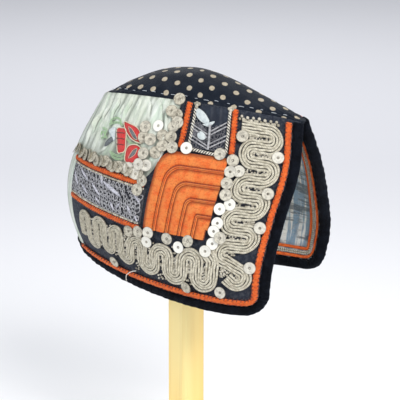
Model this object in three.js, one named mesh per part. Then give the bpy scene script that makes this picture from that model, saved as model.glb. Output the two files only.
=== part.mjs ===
// A child's festive hat on a plain wooden stand.
// Two stiff embroidered side panels meet at a point over the face and hang down to a straight hem,
// a silk gore closes the back, and a soft satin crown covers the top.
// Millimetres, Z up. The face opening looks toward -Y, the wearer's right is -X, and the origin is
// on the floor in the middle of the object.
//
// Every cloth piece is drawn flat and then laid on the form of the head. A flat place is
//   x: how far back from the front edge, measured round the hat,
//   y: how far above the hem, measured up the side,
//   z: how far out from the face of the side panel.

import * as THREE from 'three';
import { mergeVertices } from 'three/addons/utils/BufferGeometryUtils.js';

// Driving dimensions

const hemAboveFloor = 150;
const sideHeight = 150;
const forward = 2; // moves hat and stand so that the middle of the whole is at the origin

// The form of the head, ring by ring from the hem to the crown seam. Each half ring is one smooth
// curve: it leaves the front edge at (opening, front), heads for (bulge, bulgeY), and comes in from
// backX to the middle of the back at y = back.
const rings = [
  { front: -91.0, back: 91.0, opening: 50.0, bulge: 90.0, bulgeY: -73.0, backX: 20.0 },
  { front: -96.5, back: 98.0, opening: 56.0, bulge: 82.5, bulgeY: -74.0, backX: 56.0 },
  { front: -99.5, back: 96.0, opening: 41.5, bulge: 72.5, bulgeY: -69.0, backX: 72.0 },
  { front: -102.0, back: 83.5, opening: 20.0, bulge: 58.0, bulgeY: -56.5, backX: 67.0 },
  { front: -98.0, back: 65.5, opening: 3.0, bulge: 38.5, bulgeY: -35.5, backX: 43.5 },
];
// Heights of the lowest and highest ring at the front edge, the middle of the side and the back.
const hemLine = { front: 0, side: 0, back: 17.5 };
const seamLine = { front: 134.5, side: 149, back: 138 };

const crown = {
  top: 160,
  middleY: -14,
  frontPower: 1.5, // how fast the dome falls away toward the seam over the face
  backPower: 2.5, // and at the back, where the cloth is fuller
  bump: 5.8, // the stand pushes the cloth up in the middle
  bumpRadius: 59,
  wall: 2.2,
  halfWidth: 40,
};

const panelWall = 2;
const liningFace = -2.4; // outer face of the lining, inside the panel
const liningWall = 1;
const clear = 0.3;
const trimLift = 0.5; // underside of everything sewn on the panel

// The velvet binding folds over the edge of panel and lining.
const binding = {
  width: 8.5,
  edge: 1.7, // thickness of the fold in front of the panel's edge
  out: 2.2,
  in: -5.8,
  lip: 0.6, // the free edges lean in by this much
  round: 1.4, // and the folded edge is rounded off by this much
  corner: 18,
  top: 141,
};
const borderCord = { inset: 11.5, width: 5, height: 2.2 };
const liningTape = { inset: 13.6, width: 9, low: -5.2, high: -4.6, top: 128, shortOfBack: 40 };
const gore = { hem: 20, middle: 36 }; // half widths of the silk gore at the back

// Straight orange cords, each from one flat place to another.
const orangeCords = [
  { name: 'orange_cord_upper_back', from: [91, 118], to: [86, 149] },
  { name: 'orange_cord_upper_front', from: [52, 118], to: [51.5, 149] },
  { name: 'orange_cord_side_upper', from: [112, 88.5], to: [188, 94.5] },
  { name: 'orange_cord_side_lower', from: [111, 55], to: [188, 62.6] },
];
const orangeCordSize = { width: 4.6, height: 2 };
const cordShoulder = { across: 0.86, up: 0.62 }; // where the round of a cord's section is broken

// The pleated square: nested L-shaped folds about the corner nearest to front and hem.
const square = {
  front: 54,
  back: 107,
  hem: 56.5,
  top: 115,
  corner: 14,
  tighten: 0.3, // each fold's corner is tighter than the one outside it
  folds: 5,
  step: 0.8,
  foldRise: 1.1,
  firstRise: 0.2,
  wall: 0.9,
};

const silverPanel = {
  front: 55.5,
  back: 82.5,
  lean: 2.5, // the back edge follows the cord, which leans back toward the foot
  hem: 118.5,
  top: 148.5,
  low: trimLift,
  high: 1.4,
};
const silverBand = { front: 110, back: 188, low: trimLift, high: 1.6, margin: 3.2 };
const silk = {
  topFront: 92.6,
  hemFront: 114,
  frontBow: 0.68, // the front edge bows, steeper toward the crown
  top: 149.2,
  hemRise: 5,
  low: trimLift,
  high: 1.3,
  gathers: 6,
  ripple: 0.35,
};

// The couched braid: a bundle of cords that runs to and fro between two rows of turns. The bundle
// fills this share of the room between one run and the next.
const braid = { height: 1.8, fill: 0.88 };
const frontBraid = { start: 46, inner: 36, outer: 25.5, top: 132, pitch: 11.8, turns: 8 };
const lastLoop = { x: 25.5, y: 32.5, radius: 6.2, from: 115, to: 305, endX: 33.5, endY: 31.2 };
const hemBraidEnds = { start: 38, finish: 31 };
const hemBraidTurns = [
  { x: 51.5, y: 27.5 },
  { x: 64.0, y: 38.0 },
  { x: 76.5, y: 28.0 },
  { x: 89.0, y: 37.0 },
  { x: 100.5, y: 29.0 },
  { x: 112.0, y: 39.5 },
  { x: 124.0, y: 30.0 },
  { x: 132.5, y: 44.5 },
  { x: 141.5, y: 32.0 },
  { x: 150.0, y: 47.0 },
  { x: 159.5, y: 30.5 },
  { x: 168.0, y: 47.5 },
];

const sequinSize = { radius: 4.6, hole: 0.9, thickness: 0.7, sides: 8 };
const sequins = [
  { x: 86, y: 117, z: 2.9 },
  { x: 107.5, y: 130, z: 2.1 },
  { x: 49, y: 83, z: 2.7 },
  { x: 54.5, y: 48.5, z: 2.7 },
  { x: 62, y: 17.5, z: 2.7 },
  { x: 17.5, y: 72, z: 3.2 },
];

const stand = {
  baseRadius: 75,
  baseHeight: 14,
  baseFoot: 1, // bevel round the underside
  baseRound: 3, // and round the upper edge
  postSide: 22,
  chamfer: 2.7,
  turn: 25, // degrees, the post stands turned on its base
  knobRadius: 20,
  knobDome: 22,
  knobRim: 10,
  knobBevel: 1.5,
  knobTop: 162.8, // above the hem, just under the crown
};

// Materials

const look = (color, roughness, metalness = 0) =>
  new THREE.MeshStandardMaterial({ color, roughness, metalness, side: THREE.DoubleSide });

const looks = {
  velvet: () => look(0x0b0e18, 0.95),
  navyCotton: () => look(0x1c2333, 0.8),
  dottedSatin: () => look(0x20283a, 0.45),
  orange: () => look(0xe2601f, 0.75),
  paleSilk: () => look(0xcddccb, 0.5),
  lining: () => look(0x8fa3b3, 0.9),
  braid: () => look(0xc6bfac, 0.6),
  silver: () => look(0x8e9096, 0.4, 0.6),
  sequin: () => look(0xcfc8b0, 0.3, 0.5),
  red: () => look(0xc9302c, 0.6),
  wood: () => look(0xf2d99b, 0.6),
};

// The form of the head

// A smooth curve through equally spaced values, at a place from 0 to 1 along it.
function throughValues(values, place) {
  const last = values.length - 1;
  const at = THREE.MathUtils.clamp(place, 0, 1) * last;
  const i = Math.min(Math.floor(at), last - 1);
  const before = i > 0 ? values[i - 1] : 2 * values[0] - values[1];
  const after = i < last - 1 ? values[i + 2] : 2 * values[last] - values[last - 1];
  const f = at - i;
  const slope = values[i + 1] - before;
  const bend = 2 * before - 5 * values[i] + 4 * values[i + 1] - after;
  const twist = 3 * (values[i] - values[i + 1]) + after - before;
  return values[i] + (f / 2) * (slope + f * (bend + f * twist));
}

// A curve that takes the three named heights at 0, 1/2 and 1.
function lineHeight(line, s) {
  const front = line.front * (1 - s) * (1 - 2 * s);
  return front + line.side * 4 * s * (1 - s) + line.back * s * (2 * s - 1);
}

const tiny = 1e-6;
const ringCache = new Map();
const ringSteps = 72;

// The left half ring at a height from 0 to 1: points and the distance walked to each of them.
function halfRing(t) {
  const key = t.toFixed(4);
  if (ringCache.has(key)) return ringCache.get(key);
  const size = {};
  for (const column of Object.keys(rings[0])) {
    size[column] = throughValues(rings.map((ring) => ring[column]), t);
  }
  const points = [];
  const walked = [0];
  for (let i = 0; i <= ringSteps; i += 1) {
    const s = i / ringSteps;
    const near = (1 - s) ** 3;
    const mid = 3 * s * (1 - s) ** 2;
    const far = 3 * s * s * (1 - s);
    const x = size.opening * near + size.bulge * mid + size.backX * far;
    const y = size.front * near + size.bulgeY * mid + size.back * (far + s ** 3);
    const z = THREE.MathUtils.lerp(lineHeight(hemLine, s), lineHeight(seamLine, s), t);
    points.push(new THREE.Vector3(x, y, z));
    if (i > 0) walked.push(walked[i - 1] + points[i].distanceTo(points[i - 1]));
  }
  const ring = { points, walked, length: walked[ringSteps] };
  ringCache.set(key, ring);
  return ring;
}

const halfRound = (y) => halfRing(y / sideHeight).length;

// The point of the form, side +1 for the wearer's left and -1 for the right.
function onForm(side, x, y) {
  const ring = halfRing(THREE.MathUtils.clamp(y / sideHeight, 0, 1));
  const walk = THREE.MathUtils.clamp(x, 0, ring.length);
  let i = 1;
  while (i < ringSteps && ring.walked[i] < walk) i += 1;
  const share = (walk - ring.walked[i - 1]) / (ring.walked[i] - ring.walked[i - 1]);
  const point = ring.points[i - 1].clone().lerp(ring.points[i], share);
  point.x *= side;
  return point;
}

// The dome of the crown: round from -1 to 1 (0 at the front), out from 0 (middle) to 1 (seam).
function onCrown(round, out) {
  const ring = halfRing(1);
  const rim = onForm(Math.sign(round) || 1, Math.abs(round) * ring.length, sideHeight);
  if (Math.abs(round) < tiny || Math.abs(round) > 1 - tiny) rim.x = 0;
  const x = rim.x * out;
  const y = crown.middleY + (rim.y - crown.middleY) * out;
  const bump = crown.bump * Math.exp(-(x * x + y * y) / crown.bumpRadius ** 2);
  const toBack = (1 - Math.cos(Math.PI * round)) / 2;
  const power = THREE.MathUtils.lerp(crown.frontPower, crown.backPower, toBack);
  const z = crown.top - (crown.top - rim.z) * out ** power;
  return new THREE.Vector3(x, y, z + bump * (1 - out ** 2));
}

function formNormal(side, x, y) {
  const reach = 0.6;
  const low = Math.max(y - reach, 0);
  const high = Math.min(y + reach, sideHeight);
  const length = halfRing(y / sideHeight).length;
  const alongX = onForm(side, Math.min(x + reach, length), y)
    .sub(onForm(side, Math.max(x - reach, 0), y));
  const alongY = onForm(side, x, high).sub(onForm(side, x, low));
  return alongX.cross(alongY).multiplyScalar(side).normalize();
}

function crownNormal(round, out) {
  const reach = 0.01;
  const inner = Math.max(out - reach, 0.02);
  const outer = Math.min(inner + 2 * reach, 1);
  const outward = onCrown(round, outer).sub(onCrown(round, inner));
  const around = onCrown(Math.min(round + reach, 1), outer)
    .sub(onCrown(Math.max(round - reach, -1), outer));
  return outward.cross(around).normalize();
}

// Near the seam the cloth of the panel and of the crown lean toward each other's direction.
function seamNormal(side, x) {
  const round = side * THREE.MathUtils.clamp(x / halfRing(1).length, 0, 1);
  return formNormal(side, x, sideHeight).add(crownNormal(round, 1)).normalize();
}

const seamRoll = 5;

function laidNormal(side, x, y) {
  const normal = formNormal(side, x, y);
  const share = (y - (sideHeight - seamRoll)) / seamRoll;
  if (share <= 0) return normal;
  return normal.lerp(seamNormal(side, x), share).normalize();
}

function lay(side, x, y, z) {
  return onForm(side, x, y).addScaledVector(laidNormal(side, x, y), z);
}

// From flat shapes to laid cloth

// Moves every corner of a closed geometry by a rule, and keeps its faces pointing out.
function reshape(geometry, rule, mirrored = false) {
  const places = geometry.getAttribute('position');
  for (let i = 0; i < places.count; i += 1) {
    const moved = rule(places.getX(i), places.getY(i), places.getZ(i));
    places.setXYZ(i, moved.x, moved.y, moved.z);
  }
  geometry.deleteAttribute('normal');
  geometry.deleteAttribute('uv');
  const closed = mergeVertices(geometry, 1e-3);
  const corners = closed.getIndex();
  const kept = [];
  for (let i = 0; i < corners.count; i += 3) {
    const [a, b, c] = [corners.getX(i), corners.getX(i + 1), corners.getX(i + 2)];
    if (a !== b && b !== c && c !== a) kept.push(...(mirrored ? [a, c, b] : [a, b, c]));
  }
  closed.setIndex(kept);
  closed.computeVertexNormals();
  return closed;
}

const stripStep = 10; // length of one facet along a cord or a binding
const cornerSteps = 5; // facets round the lower corner

const hat = new THREE.Group();
hat.position.set(0, forward, hemAboveFloor);
const standGroup = new THREE.Group();
standGroup.position.set(0, forward, 0);
const hatOnStand = new THREE.Group();
hatOnStand.add(hat, standGroup);

function addPiece(group, name, geometry, material) {
  const piece = new THREE.Mesh(geometry, material);
  piece.name = name;
  group.add(piece);
  return piece;
}

// A flat sheet cut into cells, laid by a rule from u and v (0 to 1) to a flat place. A sheet that
// starts at the back has its u running forward.
function sheet(side, columns, rows, low, high, place, startsAtBack = false) {
  const flat = new THREE.BoxGeometry(1, 1, 1, columns, rows, 1);
  return reshape(flat, (bx, by, bz) => {
    const [x, y, rise = 0] = place(bx + 0.5, by + 0.5);
    return lay(side, x, y, bz > 0 ? high + rise : low);
  }, (side < 0) !== startsAtBack);
}

// A strip whose section runs through flat places.
function strip(side, section, places) {
  const steps = places.length - 1;
  const path = pathThrough(places);
  const shape = new THREE.Shape(section.map(([across, rise]) => new THREE.Vector2(across, rise)));
  const straight = new THREE.ExtrudeGeometry(shape, { depth: 1, steps, bevelEnabled: false });
  return reshape(straight, (across, rise, along) => {
    const [x, y] = path(along);
    const [dx, dy] = direction(path, along);
    return lay(side, x + dy * across, y - dx * across, rise);
  }, side > 0);
}

function between(from, to, share) {
  return from.map((value, i) => value + (to[i] - value) * share);
}

// The direction of a flat path, as a unit step.
function direction(path, along) {
  const reach = 1e-3;
  const [x0, y0] = path(Math.max(along - reach, 0));
  const [x1, y1] = path(Math.min(along + reach, 1));
  const length = Math.hypot(x1 - x0, y1 - y0);
  return [(x1 - x0) / length, (y1 - y0) / length];
}

// A flat path through places, with an equal share of the way for each step between them.
function pathThrough(places) {
  const steps = places.length - 1;
  return (share) => {
    const step = Math.min(Math.floor(share * steps), steps - 1);
    return between(places[step], places[step + 1], share * steps - step);
  };
}

function linePlaces(from, to, steps) {
  return Array.from({ length: steps + 1 }, (_, i) => between(from, to, i / steps));
}

function arcPlaces(cx, cy, radius, from, to, steps) {
  const places = [];
  for (let i = 0; i <= steps; i += 1) {
    const angle = THREE.MathUtils.degToRad(from + ((to - from) * i) / steps);
    places.push([cx + radius * Math.cos(angle), cy + radius * Math.sin(angle)]);
  }
  return places;
}

// Down the front edge, round the lower corner and back along the hem, at an inset from the edge.
function edgePlaces(inset, top, back) {
  const corner = binding.corner;
  const frontSteps = Math.round((top - corner) / stripStep);
  const hemSteps = Math.round((back - corner) / stripStep);
  return [
    ...linePlaces([inset, top], [inset, corner], frontSteps).slice(0, -1),
    ...arcPlaces(corner, corner, corner - inset, 180, 270, cornerSteps),
    ...linePlaces([corner, inset], [back, inset], hemSteps).slice(1),
  ];
}

// Side panels, gore and lining

const sides = [
  { side: -1, label: 'right' },
  { side: 1, label: 'left' },
];
const panelEdge = binding.edge + 2 * clear;

const goreHalf = (y) => gore.hem + (gore.middle - gore.hem) * Math.sin((Math.PI * y) / sideHeight);
const panelBack = (y) => halfRound(y) - goreHalf(y);

// Where the panel starts behind its front edge, with the lower corner rounded.
function panelFront(y) {
  const radius = binding.corner - panelEdge;
  const below = Math.max(binding.corner - y, 0);
  return binding.corner - Math.sqrt(Math.max(radius ** 2 - below ** 2, 0));
}

const panelRows = 8;
const panelColumns = 14;
const goreColumns = 3; // on each side of the middle of the back
const panelTop = sideHeight - clear / 2;
const rowPower = 1.15; // rows lie closer together at the hem, where the corner turns
const panelY = (v) => panelEdge + (panelTop - panelEdge) * v ** rowPower;

function sidePanel(side) {
  return sheet(side, panelColumns, panelRows, -panelWall, 0, (u, v) => {
    const y = panelY(v);
    const front = panelFront(y);
    return [front + (panelBack(y) - clear / 2 - front) * u, y];
  });
}

// The gore crosses the middle of the back, so the sheet runs from one side to the other.
function backGore() {
  const flat = new THREE.BoxGeometry(1, 1, 1, 2 * goreColumns, panelRows, 1);
  return reshape(flat, (bx, by, bz) => {
    const y = panelY(by + 0.5);
    const across = Math.abs(bx) * 2 * (goreHalf(y) - clear / 2);
    const place = lay(bx < 0 ? -1 : 1, halfRound(y) - across, y, bz > 0 ? 0 : -panelWall);
    if (Math.abs(bx) < tiny) place.x = 0;
    return place;
  }, true);
}

// Each half of the lining backs a panel and half the gore, in the same columns and rows.
function liningHalf(side) {
  const columns = panelColumns + goreColumns;
  const rows = panelRows - 1;
  return sheet(side, columns, rows, liningFace - liningWall, liningFace, (u, v) => {
    const y = panelY((v * rows) / panelRows);
    const column = Math.round((1 - u) * columns);
    const onPanel = Math.min(column / panelColumns, 1);
    const onGore = Math.max(column - panelColumns, 0) / goreColumns;
    const front = panelFront(y);
    return [front + (panelBack(y) - front) * onPanel + (goreHalf(y) - clear) * onGore, y];
  }, true);
}

for (const { side, label } of sides) {
  addPiece(hat, `side_panel_${label}`, sidePanel(side), looks.navyCotton());
  addPiece(hat, `lining_${label}`, liningHalf(side), looks.lining());
}
addPiece(hat, 'back_gore', backGore(), looks.paleSilk());

// Crown

const crownColumns = 32; // facets all round

function crownShell() {
  const stepsOut = [0, 0.22, 0.44, 0.64, 0.82, 1];
  const flat = [
    ...stepsOut.map((out) => new THREE.Vector2(out, 0)),
    ...stepsOut.map((out) => new THREE.Vector2(out, 1)).reverse(),
  ];
  const disc = new THREE.LatheGeometry(flat, crownColumns);
  const ringLength = halfRing(1).length;
  return reshape(disc, (dx, layer, dz) => {
    const out = Math.min(Math.hypot(dx, dz), 1);
    const angle = out < tiny ? 0 : Math.atan2(dx, dz) / Math.PI;
    const round = Math.abs(angle) > 1 - tiny ? 1 : angle;
    const rim = 1 - clear / 2 / crown.halfWidth;
    const place = onCrown(round, out * rim);
    const side = Math.sign(round) || 1;
    let normal = new THREE.Vector3(0, 0, 1);
    if (out > 1 - tiny) normal = seamNormal(side, Math.abs(round) * ringLength);
    else if (out > tiny) normal = crownNormal(round, out);
    const onMiddle = Math.abs(round) < tiny || Math.abs(round) > 1 - tiny;
    if (onMiddle) normal.setX(0).normalize();
    return place.addScaledVector(normal, layer > 0.5 ? 0 : -crown.wall);
  });
}

addPiece(hat, 'crown', crownShell(), looks.dottedSatin());

// Velvet binding and orange border cord

// The section of the binding: across is minus the inset from the edge, rise is out from the panel.
const liningBack = liningFace - liningWall;
const lipOut = trimLift + 0.2;
const lipIn = liningBack - 1.2;
const bindingSection = [
  [-binding.width, lipOut],
  [-binding.width + binding.lip, binding.out],
  [-binding.round, binding.out],
  [0, 0],
  [0, liningBack],
  [-binding.round, binding.in],
  [-binding.width + binding.lip, binding.in],
  [-binding.width, lipIn],
  [-binding.edge, lipIn],
  [-binding.edge, lipOut],
];

function roundSection(width, height, low) {
  const half = width / 2;
  return [
    [-half, low],
    [half, low],
    [half * cordShoulder.across, low + height * cordShoulder.up],
    [0, low + height],
    [-half * cordShoulder.across, low + height * cordShoulder.up],
  ];
}

for (const { side, label } of sides) {
  const hemBack = halfRound(0) - clear / 2;
  const edge = edgePlaces(0, binding.top, hemBack);
  addPiece(hat, `edge_binding_${label}`, strip(side, bindingSection, edge), looks.velvet());
  const cordBack = panelBack(borderCord.inset) - 1;
  const cordPlaces = edgePlaces(borderCord.inset, sideHeight - 3, cordBack);
  const cordSection = roundSection(borderCord.width, borderCord.height, trimLift);
  addPiece(hat, `border_cord_${label}`, strip(side, cordSection, cordPlaces), looks.orange());
  const tapeBack = halfRound(liningTape.inset) - liningTape.shortOfBack;
  const tapePlaces = edgePlaces(liningTape.inset, liningTape.top, tapeBack);
  const tapeSection = [
    [-liningTape.width / 2, liningTape.low],
    [liningTape.width / 2, liningTape.low],
    [liningTape.width / 2, liningTape.high],
    [-liningTape.width / 2, liningTape.high],
  ];
  addPiece(hat, `lining_tape_${label}`, strip(side, tapeSection, tapePlaces), looks.orange());
}

// Straight orange cords

for (const { side, label } of sides) {
  const section = roundSection(orangeCordSize.width, orangeCordSize.height, trimLift);
  for (const { name, from, to } of orangeCords) {
    const length = Math.hypot(to[0] - from[0], to[1] - from[1]);
    const cord = strip(side, section, linePlaces(from, to, Math.ceil(length / stripStep)));
    addPiece(hat, `${name}_${label}`, cord, looks.orange());
  }
}

// Pleated square

const armSteps = 3; // facets along each arm of a fold, and round its corner
const tightest = 0.3; // least radius of a fold's corner, and least length of its arms

// One L-shaped line of the square at a distance from its top and back edges.
function foldLine(distance) {
  const radius = Math.max(square.corner - distance * square.tighten, tightest);
  const back = square.back - distance;
  const top = square.top - distance;
  const room = Math.min(radius, back - square.front - tightest, top - square.hem - tightest);
  const arc = arcPlaces(back - room, top - room, room, 0, 90, armSteps);
  return { start: [back, square.hem], arc, end: [square.front, top] };
}

function pleatedSquare(side) {
  const depth = (square.back - square.front) / square.folds;
  const levels = [];
  for (let fold = 0; fold < square.folds; fold += 1) {
    levels.push({ distance: fold * depth, rise: fold > 0 ? 0 : square.firstRise });
    levels.push({ distance: (fold + 1) * depth - square.step, rise: square.foldRise });
  }
  levels.at(-1).distance -= 1;
  const rows = levels.length - 1;
  return sheet(side, 3 * armSteps, rows, trimLift, trimLift + square.wall, (u, v) => {
    const { distance, rise } = levels[Math.round(v * rows)];
    const { start, arc, end } = foldLine(distance);
    const along = 3 * armSteps * u;
    let place = arc[THREE.MathUtils.clamp(Math.round(along) - armSteps, 0, armSteps)];
    if (along < armSteps) place = between(start, arc[0], along / armSteps);
    if (along > 2 * armSteps) place = between(arc[armSteps], end, along / armSteps - 2);
    return [...place, rise];
  });
}

// Silver work, silk square and flower

const cordLine = ({ from, to }, x) => from[1] + ((to[1] - from[1]) * (x - from[0])) / (to[0] - from[0]);
const upperLine = (x) => cordLine(orangeCords[2], x);
const lowerLine = (x) => cordLine(orangeCords[3], x);

function silverPanelSheet(side) {
  const { front, back, lean, hem, top, low, high } = silverPanel;
  return sheet(side, 4, 4, low, high, (u, v) => {
    const backEdge = back + lean * (1 - v);
    return [front + (backEdge - front) * u, hem + (top - hem) * v];
  });
}

function silverBandSheet(side) {
  const { front, back, low, high, margin } = silverBand;
  return sheet(side, 10, 4, low, high, (u, v) => {
    const x = front + (back - front) * u;
    const bottom = lowerLine(x) + margin;
    return [x, bottom + (upperLine(x) - margin - bottom) * v];
  });
}

function silkSquare(side) {
  return sheet(side, 2 * silk.gathers, 5, silk.low, silk.high, (u, v) => {
    const front = silk.hemFront + (silk.topFront - silk.hemFront) * v ** silk.frontBow;
    const guess = front + (panelBack(orangeCords[2].to[1]) - front) * u;
    const foot = upperLine(guess) + silk.hemRise;
    const y = foot + (silk.top - foot) * v;
    const back = panelBack(y) - 1;
    const ripple = silk.ripple * (1 + Math.cos(u * silk.gathers * 2 * Math.PI)) * v;
    return [front + (back - front) * u, y, ripple];
  });
}

// The flower's parts, drawn flat: x grows toward the back, so the front of the hat is at the left.
const petalOutlines = {
  flower_pod: [
    [148, 125], [142.5, 126.8], [137.2, 126], [136.3, 117],
    [135.2, 109], [139, 106.9], [143.4, 107], [146, 116],
  ],
  flower_petal_upper: [
    [137.6, 128.6], [132, 128], [127, 125], [123, 121],
    [123.2, 117.2], [129.6, 118], [134.4, 121.6],
  ],
  flower_petal_lower: [
    [133.4, 110.6], [130.6, 114], [125.4, 115], [122, 112.6],
    [121, 107.6], [124, 103.6], [129, 101.8], [132.6, 104.6],
  ],
};
const petalSteps = 15; // facets round each of them

function petalShape(outline) {
  const places = [...outline, outline[0]].map(([x, y]) => new THREE.Vector2(x, y));
  return new THREE.Shape(new THREE.SplineCurve(places).getPoints(petalSteps).slice(0, -1));
}

const petalLift = 2.2;
const petalThickness = 0.8;

for (const { side, label } of sides) {
  addPiece(hat, `pleated_square_${label}`, pleatedSquare(side), looks.orange());
  addPiece(hat, `silver_panel_${label}`, silverPanelSheet(side), looks.silver());
  addPiece(hat, `silver_band_${label}`, silverBandSheet(side), looks.silver());
  addPiece(hat, `silk_square_${label}`, silkSquare(side), looks.paleSilk());
  for (const [name, outline] of Object.entries(petalOutlines)) {
    const flat = new THREE.ExtrudeGeometry(petalShape(outline), {
      depth: petalThickness,
      bevelEnabled: false,
    });
    const petal = reshape(flat, (x, y, z) => lay(side, x, y, petalLift + z), side < 0);
    addPiece(hat, `${name}_${label}`, petal, looks.red());
  }
}

// Couched braid

const turnSteps = 4; // facets round each turn of the braid

// Round each turn the bundle goes half a circle; between turns it runs straight. A place on a braid
// is x, y and the room for the bundle there.
const withRoom = (places, room) => places.map(([x, y]) => [x, y, room]);

function frontBraidPath() {
  const radius = frontBraid.pitch / 2;
  const places = [[frontBraid.start, frontBraid.top + radius]];
  for (let turn = 0; turn < frontBraid.turns; turn += 1) {
    const y = frontBraid.top - turn * frontBraid.pitch;
    if (turn % 2 === 0) places.push(...arcPlaces(frontBraid.outer, y, radius, 90, 270, turnSteps));
    else places.push(...arcPlaces(frontBraid.inner, y, radius, 90, -90, turnSteps));
  }
  const { x, y, radius: loop, from, to, endX, endY } = lastLoop;
  places.push(...arcPlaces(x, y, loop, from, to, turnSteps), [endX, endY]);
  return withRoom(places, frontBraid.pitch);
}

function hemBraidPath() {
  const turns = hemBraidTurns;
  const legs = turns.slice(1).map((turn, i) => (turns[i].x + turn.x) / 2);
  legs.unshift(2 * turns[0].x - legs[0]);
  legs.push(2 * turns.at(-1).x - legs.at(-1));
  const places = [[legs[0], hemBraidEnds.start, legs[1] - legs[0]]];
  turns.forEach(({ y }, turn) => {
    const [x, room] = [(legs[turn] + legs[turn + 1]) / 2, legs[turn + 1] - legs[turn]];
    const end = turn % 2 === 0 ? 360 : 0;
    places.push(...withRoom(arcPlaces(x, y, room / 2, 180, end, turnSteps), room));
  });
  return [...places, [legs.at(-1), hemBraidEnds.finish, places.at(-1)[2]]];
}

function couchedBraid(side, places) {
  const path = pathThrough(places);
  const straight = new THREE.BoxGeometry(1, 1, 1, 1, 1, places.length - 1);
  return reshape(straight, (across, rise, along) => {
    const share = along + 0.5;
    const [x, y, room] = path(share);
    const [dx, dy] = direction(path, share);
    const reach = across * room * braid.fill;
    const z = rise > 0 ? trimLift + braid.height : trimLift;
    return lay(side, x + dy * reach, y - dx * reach, z);
  }, side > 0);
}

for (const { side, label } of sides) {
  addPiece(hat, `braid_front_${label}`, couchedBraid(side, frontBraidPath()), looks.braid());
  addPiece(hat, `braid_hem_${label}`, couchedBraid(side, hemBraidPath()), looks.braid());
}

// Sequins

function sequinDisc() {
  const { radius, hole, thickness, sides: corners } = sequinSize;
  const section = [
    new THREE.Vector2(hole, 0),
    new THREE.Vector2(radius, 0),
    new THREE.Vector2(radius, thickness),
    new THREE.Vector2(hole, thickness),
    new THREE.Vector2(hole, 0),
  ];
  return reshape(new THREE.LatheGeometry(section, corners), (x, y, z) => new THREE.Vector3(x, y, z));
}

const up = new THREE.Vector3(0, 1, 0);
for (const { side, label } of sides) {
  sequins.forEach(({ x, y, z }, index) => {
    const disc = addPiece(hat, `sequin_${index + 1}_${label}`, sequinDisc(), looks.sequin());
    disc.position.copy(lay(side, x, y, z));
    disc.quaternion.setFromUnitVectors(up, laidNormal(side, x, y));
  });
}

// Stand

function standBase() {
  const { baseRadius: radius, baseHeight: height, baseFoot: foot, baseRound: round } = stand;
  const shoulder = round * (1 - Math.SQRT1_2);
  const profile = [
    new THREE.Vector2(0, 0),
    new THREE.Vector2(radius - foot, 0),
    new THREE.Vector2(radius, foot),
    new THREE.Vector2(radius, height - round),
    new THREE.Vector2(radius - shoulder, height - shoulder),
    new THREE.Vector2(radius - round, height),
    new THREE.Vector2(0, height),
  ];
  return reshape(new THREE.LatheGeometry(profile, 36), (x, y, z) => new THREE.Vector3(z, x, y));
}

function standPost(height) {
  const half = stand.postSide / 2;
  const cut = half - stand.chamfer;
  const outline = [
    [half, -cut], [half, cut], [cut, half], [-cut, half],
    [-half, cut], [-half, -cut], [-cut, -half], [cut, -half],
  ];
  const shape = new THREE.Shape(outline.map(([x, y]) => new THREE.Vector2(x, y)));
  const post = new THREE.ExtrudeGeometry(shape, { depth: height, bevelEnabled: false });
  return reshape(post, (x, y, z) => new THREE.Vector3(x, y, z));
}

// The knob is a turned disc with a domed top that carries the crown.
function standKnob() {
  const { knobRadius, knobDome, knobRim, knobBevel } = stand;
  const tilt = Math.asin(knobRadius / knobDome);
  const drop = knobDome * (1 - Math.cos(tilt));
  const profile = [
    new THREE.Vector2(0, -drop - knobRim),
    new THREE.Vector2(knobRadius - knobBevel, -drop - knobRim),
    new THREE.Vector2(knobRadius, -drop - knobRim + knobBevel),
  ];
  const steps = 5;
  for (let i = steps; i > 0; i -= 1) {
    const angle = (tilt * i) / steps;
    profile.push(new THREE.Vector2(knobDome * Math.sin(angle), knobDome * (Math.cos(angle) - 1)));
  }
  profile.push(new THREE.Vector2(0, 0));
  const knob = new THREE.LatheGeometry(profile, 24);
  return {
    geometry: reshape(knob, (x, y, z) => new THREE.Vector3(z, x, y)),
    height: drop + knobRim,
  };
}

const knob = standKnob();
const knobTop = hemAboveFloor + stand.knobTop;
const postHeight = knobTop - knob.height - stand.baseHeight - 2 * clear;
addPiece(standGroup, 'stand_base', standBase(), looks.wood());
const post = addPiece(standGroup, 'stand_post', standPost(postHeight), looks.wood());
post.position.z = stand.baseHeight + clear;
post.rotation.z = THREE.MathUtils.degToRad(-stand.turn);
addPiece(standGroup, 'stand_top', knob.geometry, looks.wood()).position.z = knobTop;

export default hatOnStand;
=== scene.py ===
"""A child's festive cloth hat on a plain wooden stand. Lengths are in millimetres until a mesh is made."""

import math

import bpy
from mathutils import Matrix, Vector
import numpy as np


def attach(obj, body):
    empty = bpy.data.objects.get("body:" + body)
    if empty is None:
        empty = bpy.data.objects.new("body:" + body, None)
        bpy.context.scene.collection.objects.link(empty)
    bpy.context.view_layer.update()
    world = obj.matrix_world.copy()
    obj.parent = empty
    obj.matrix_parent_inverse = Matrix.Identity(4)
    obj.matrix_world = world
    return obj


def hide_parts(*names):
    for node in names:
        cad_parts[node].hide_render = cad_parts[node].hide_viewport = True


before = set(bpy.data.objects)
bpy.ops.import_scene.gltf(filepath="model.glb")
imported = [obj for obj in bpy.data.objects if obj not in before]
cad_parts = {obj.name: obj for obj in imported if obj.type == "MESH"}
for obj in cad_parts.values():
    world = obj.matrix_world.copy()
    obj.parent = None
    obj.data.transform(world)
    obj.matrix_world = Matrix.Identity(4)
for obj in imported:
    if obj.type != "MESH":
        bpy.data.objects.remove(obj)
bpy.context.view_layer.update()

# The side panels
# Two stiff panels of navy cotton, backed and quilted, each in one piece from the front edge to the
# silk gore. They are steamed over a block, so they hold the round of a small head by themselves.
MM = 0.001
HEM, TALL, FORWARD = 150.0, 150.0, 2.0  # hem over the table, panel height, place on the post
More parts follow.
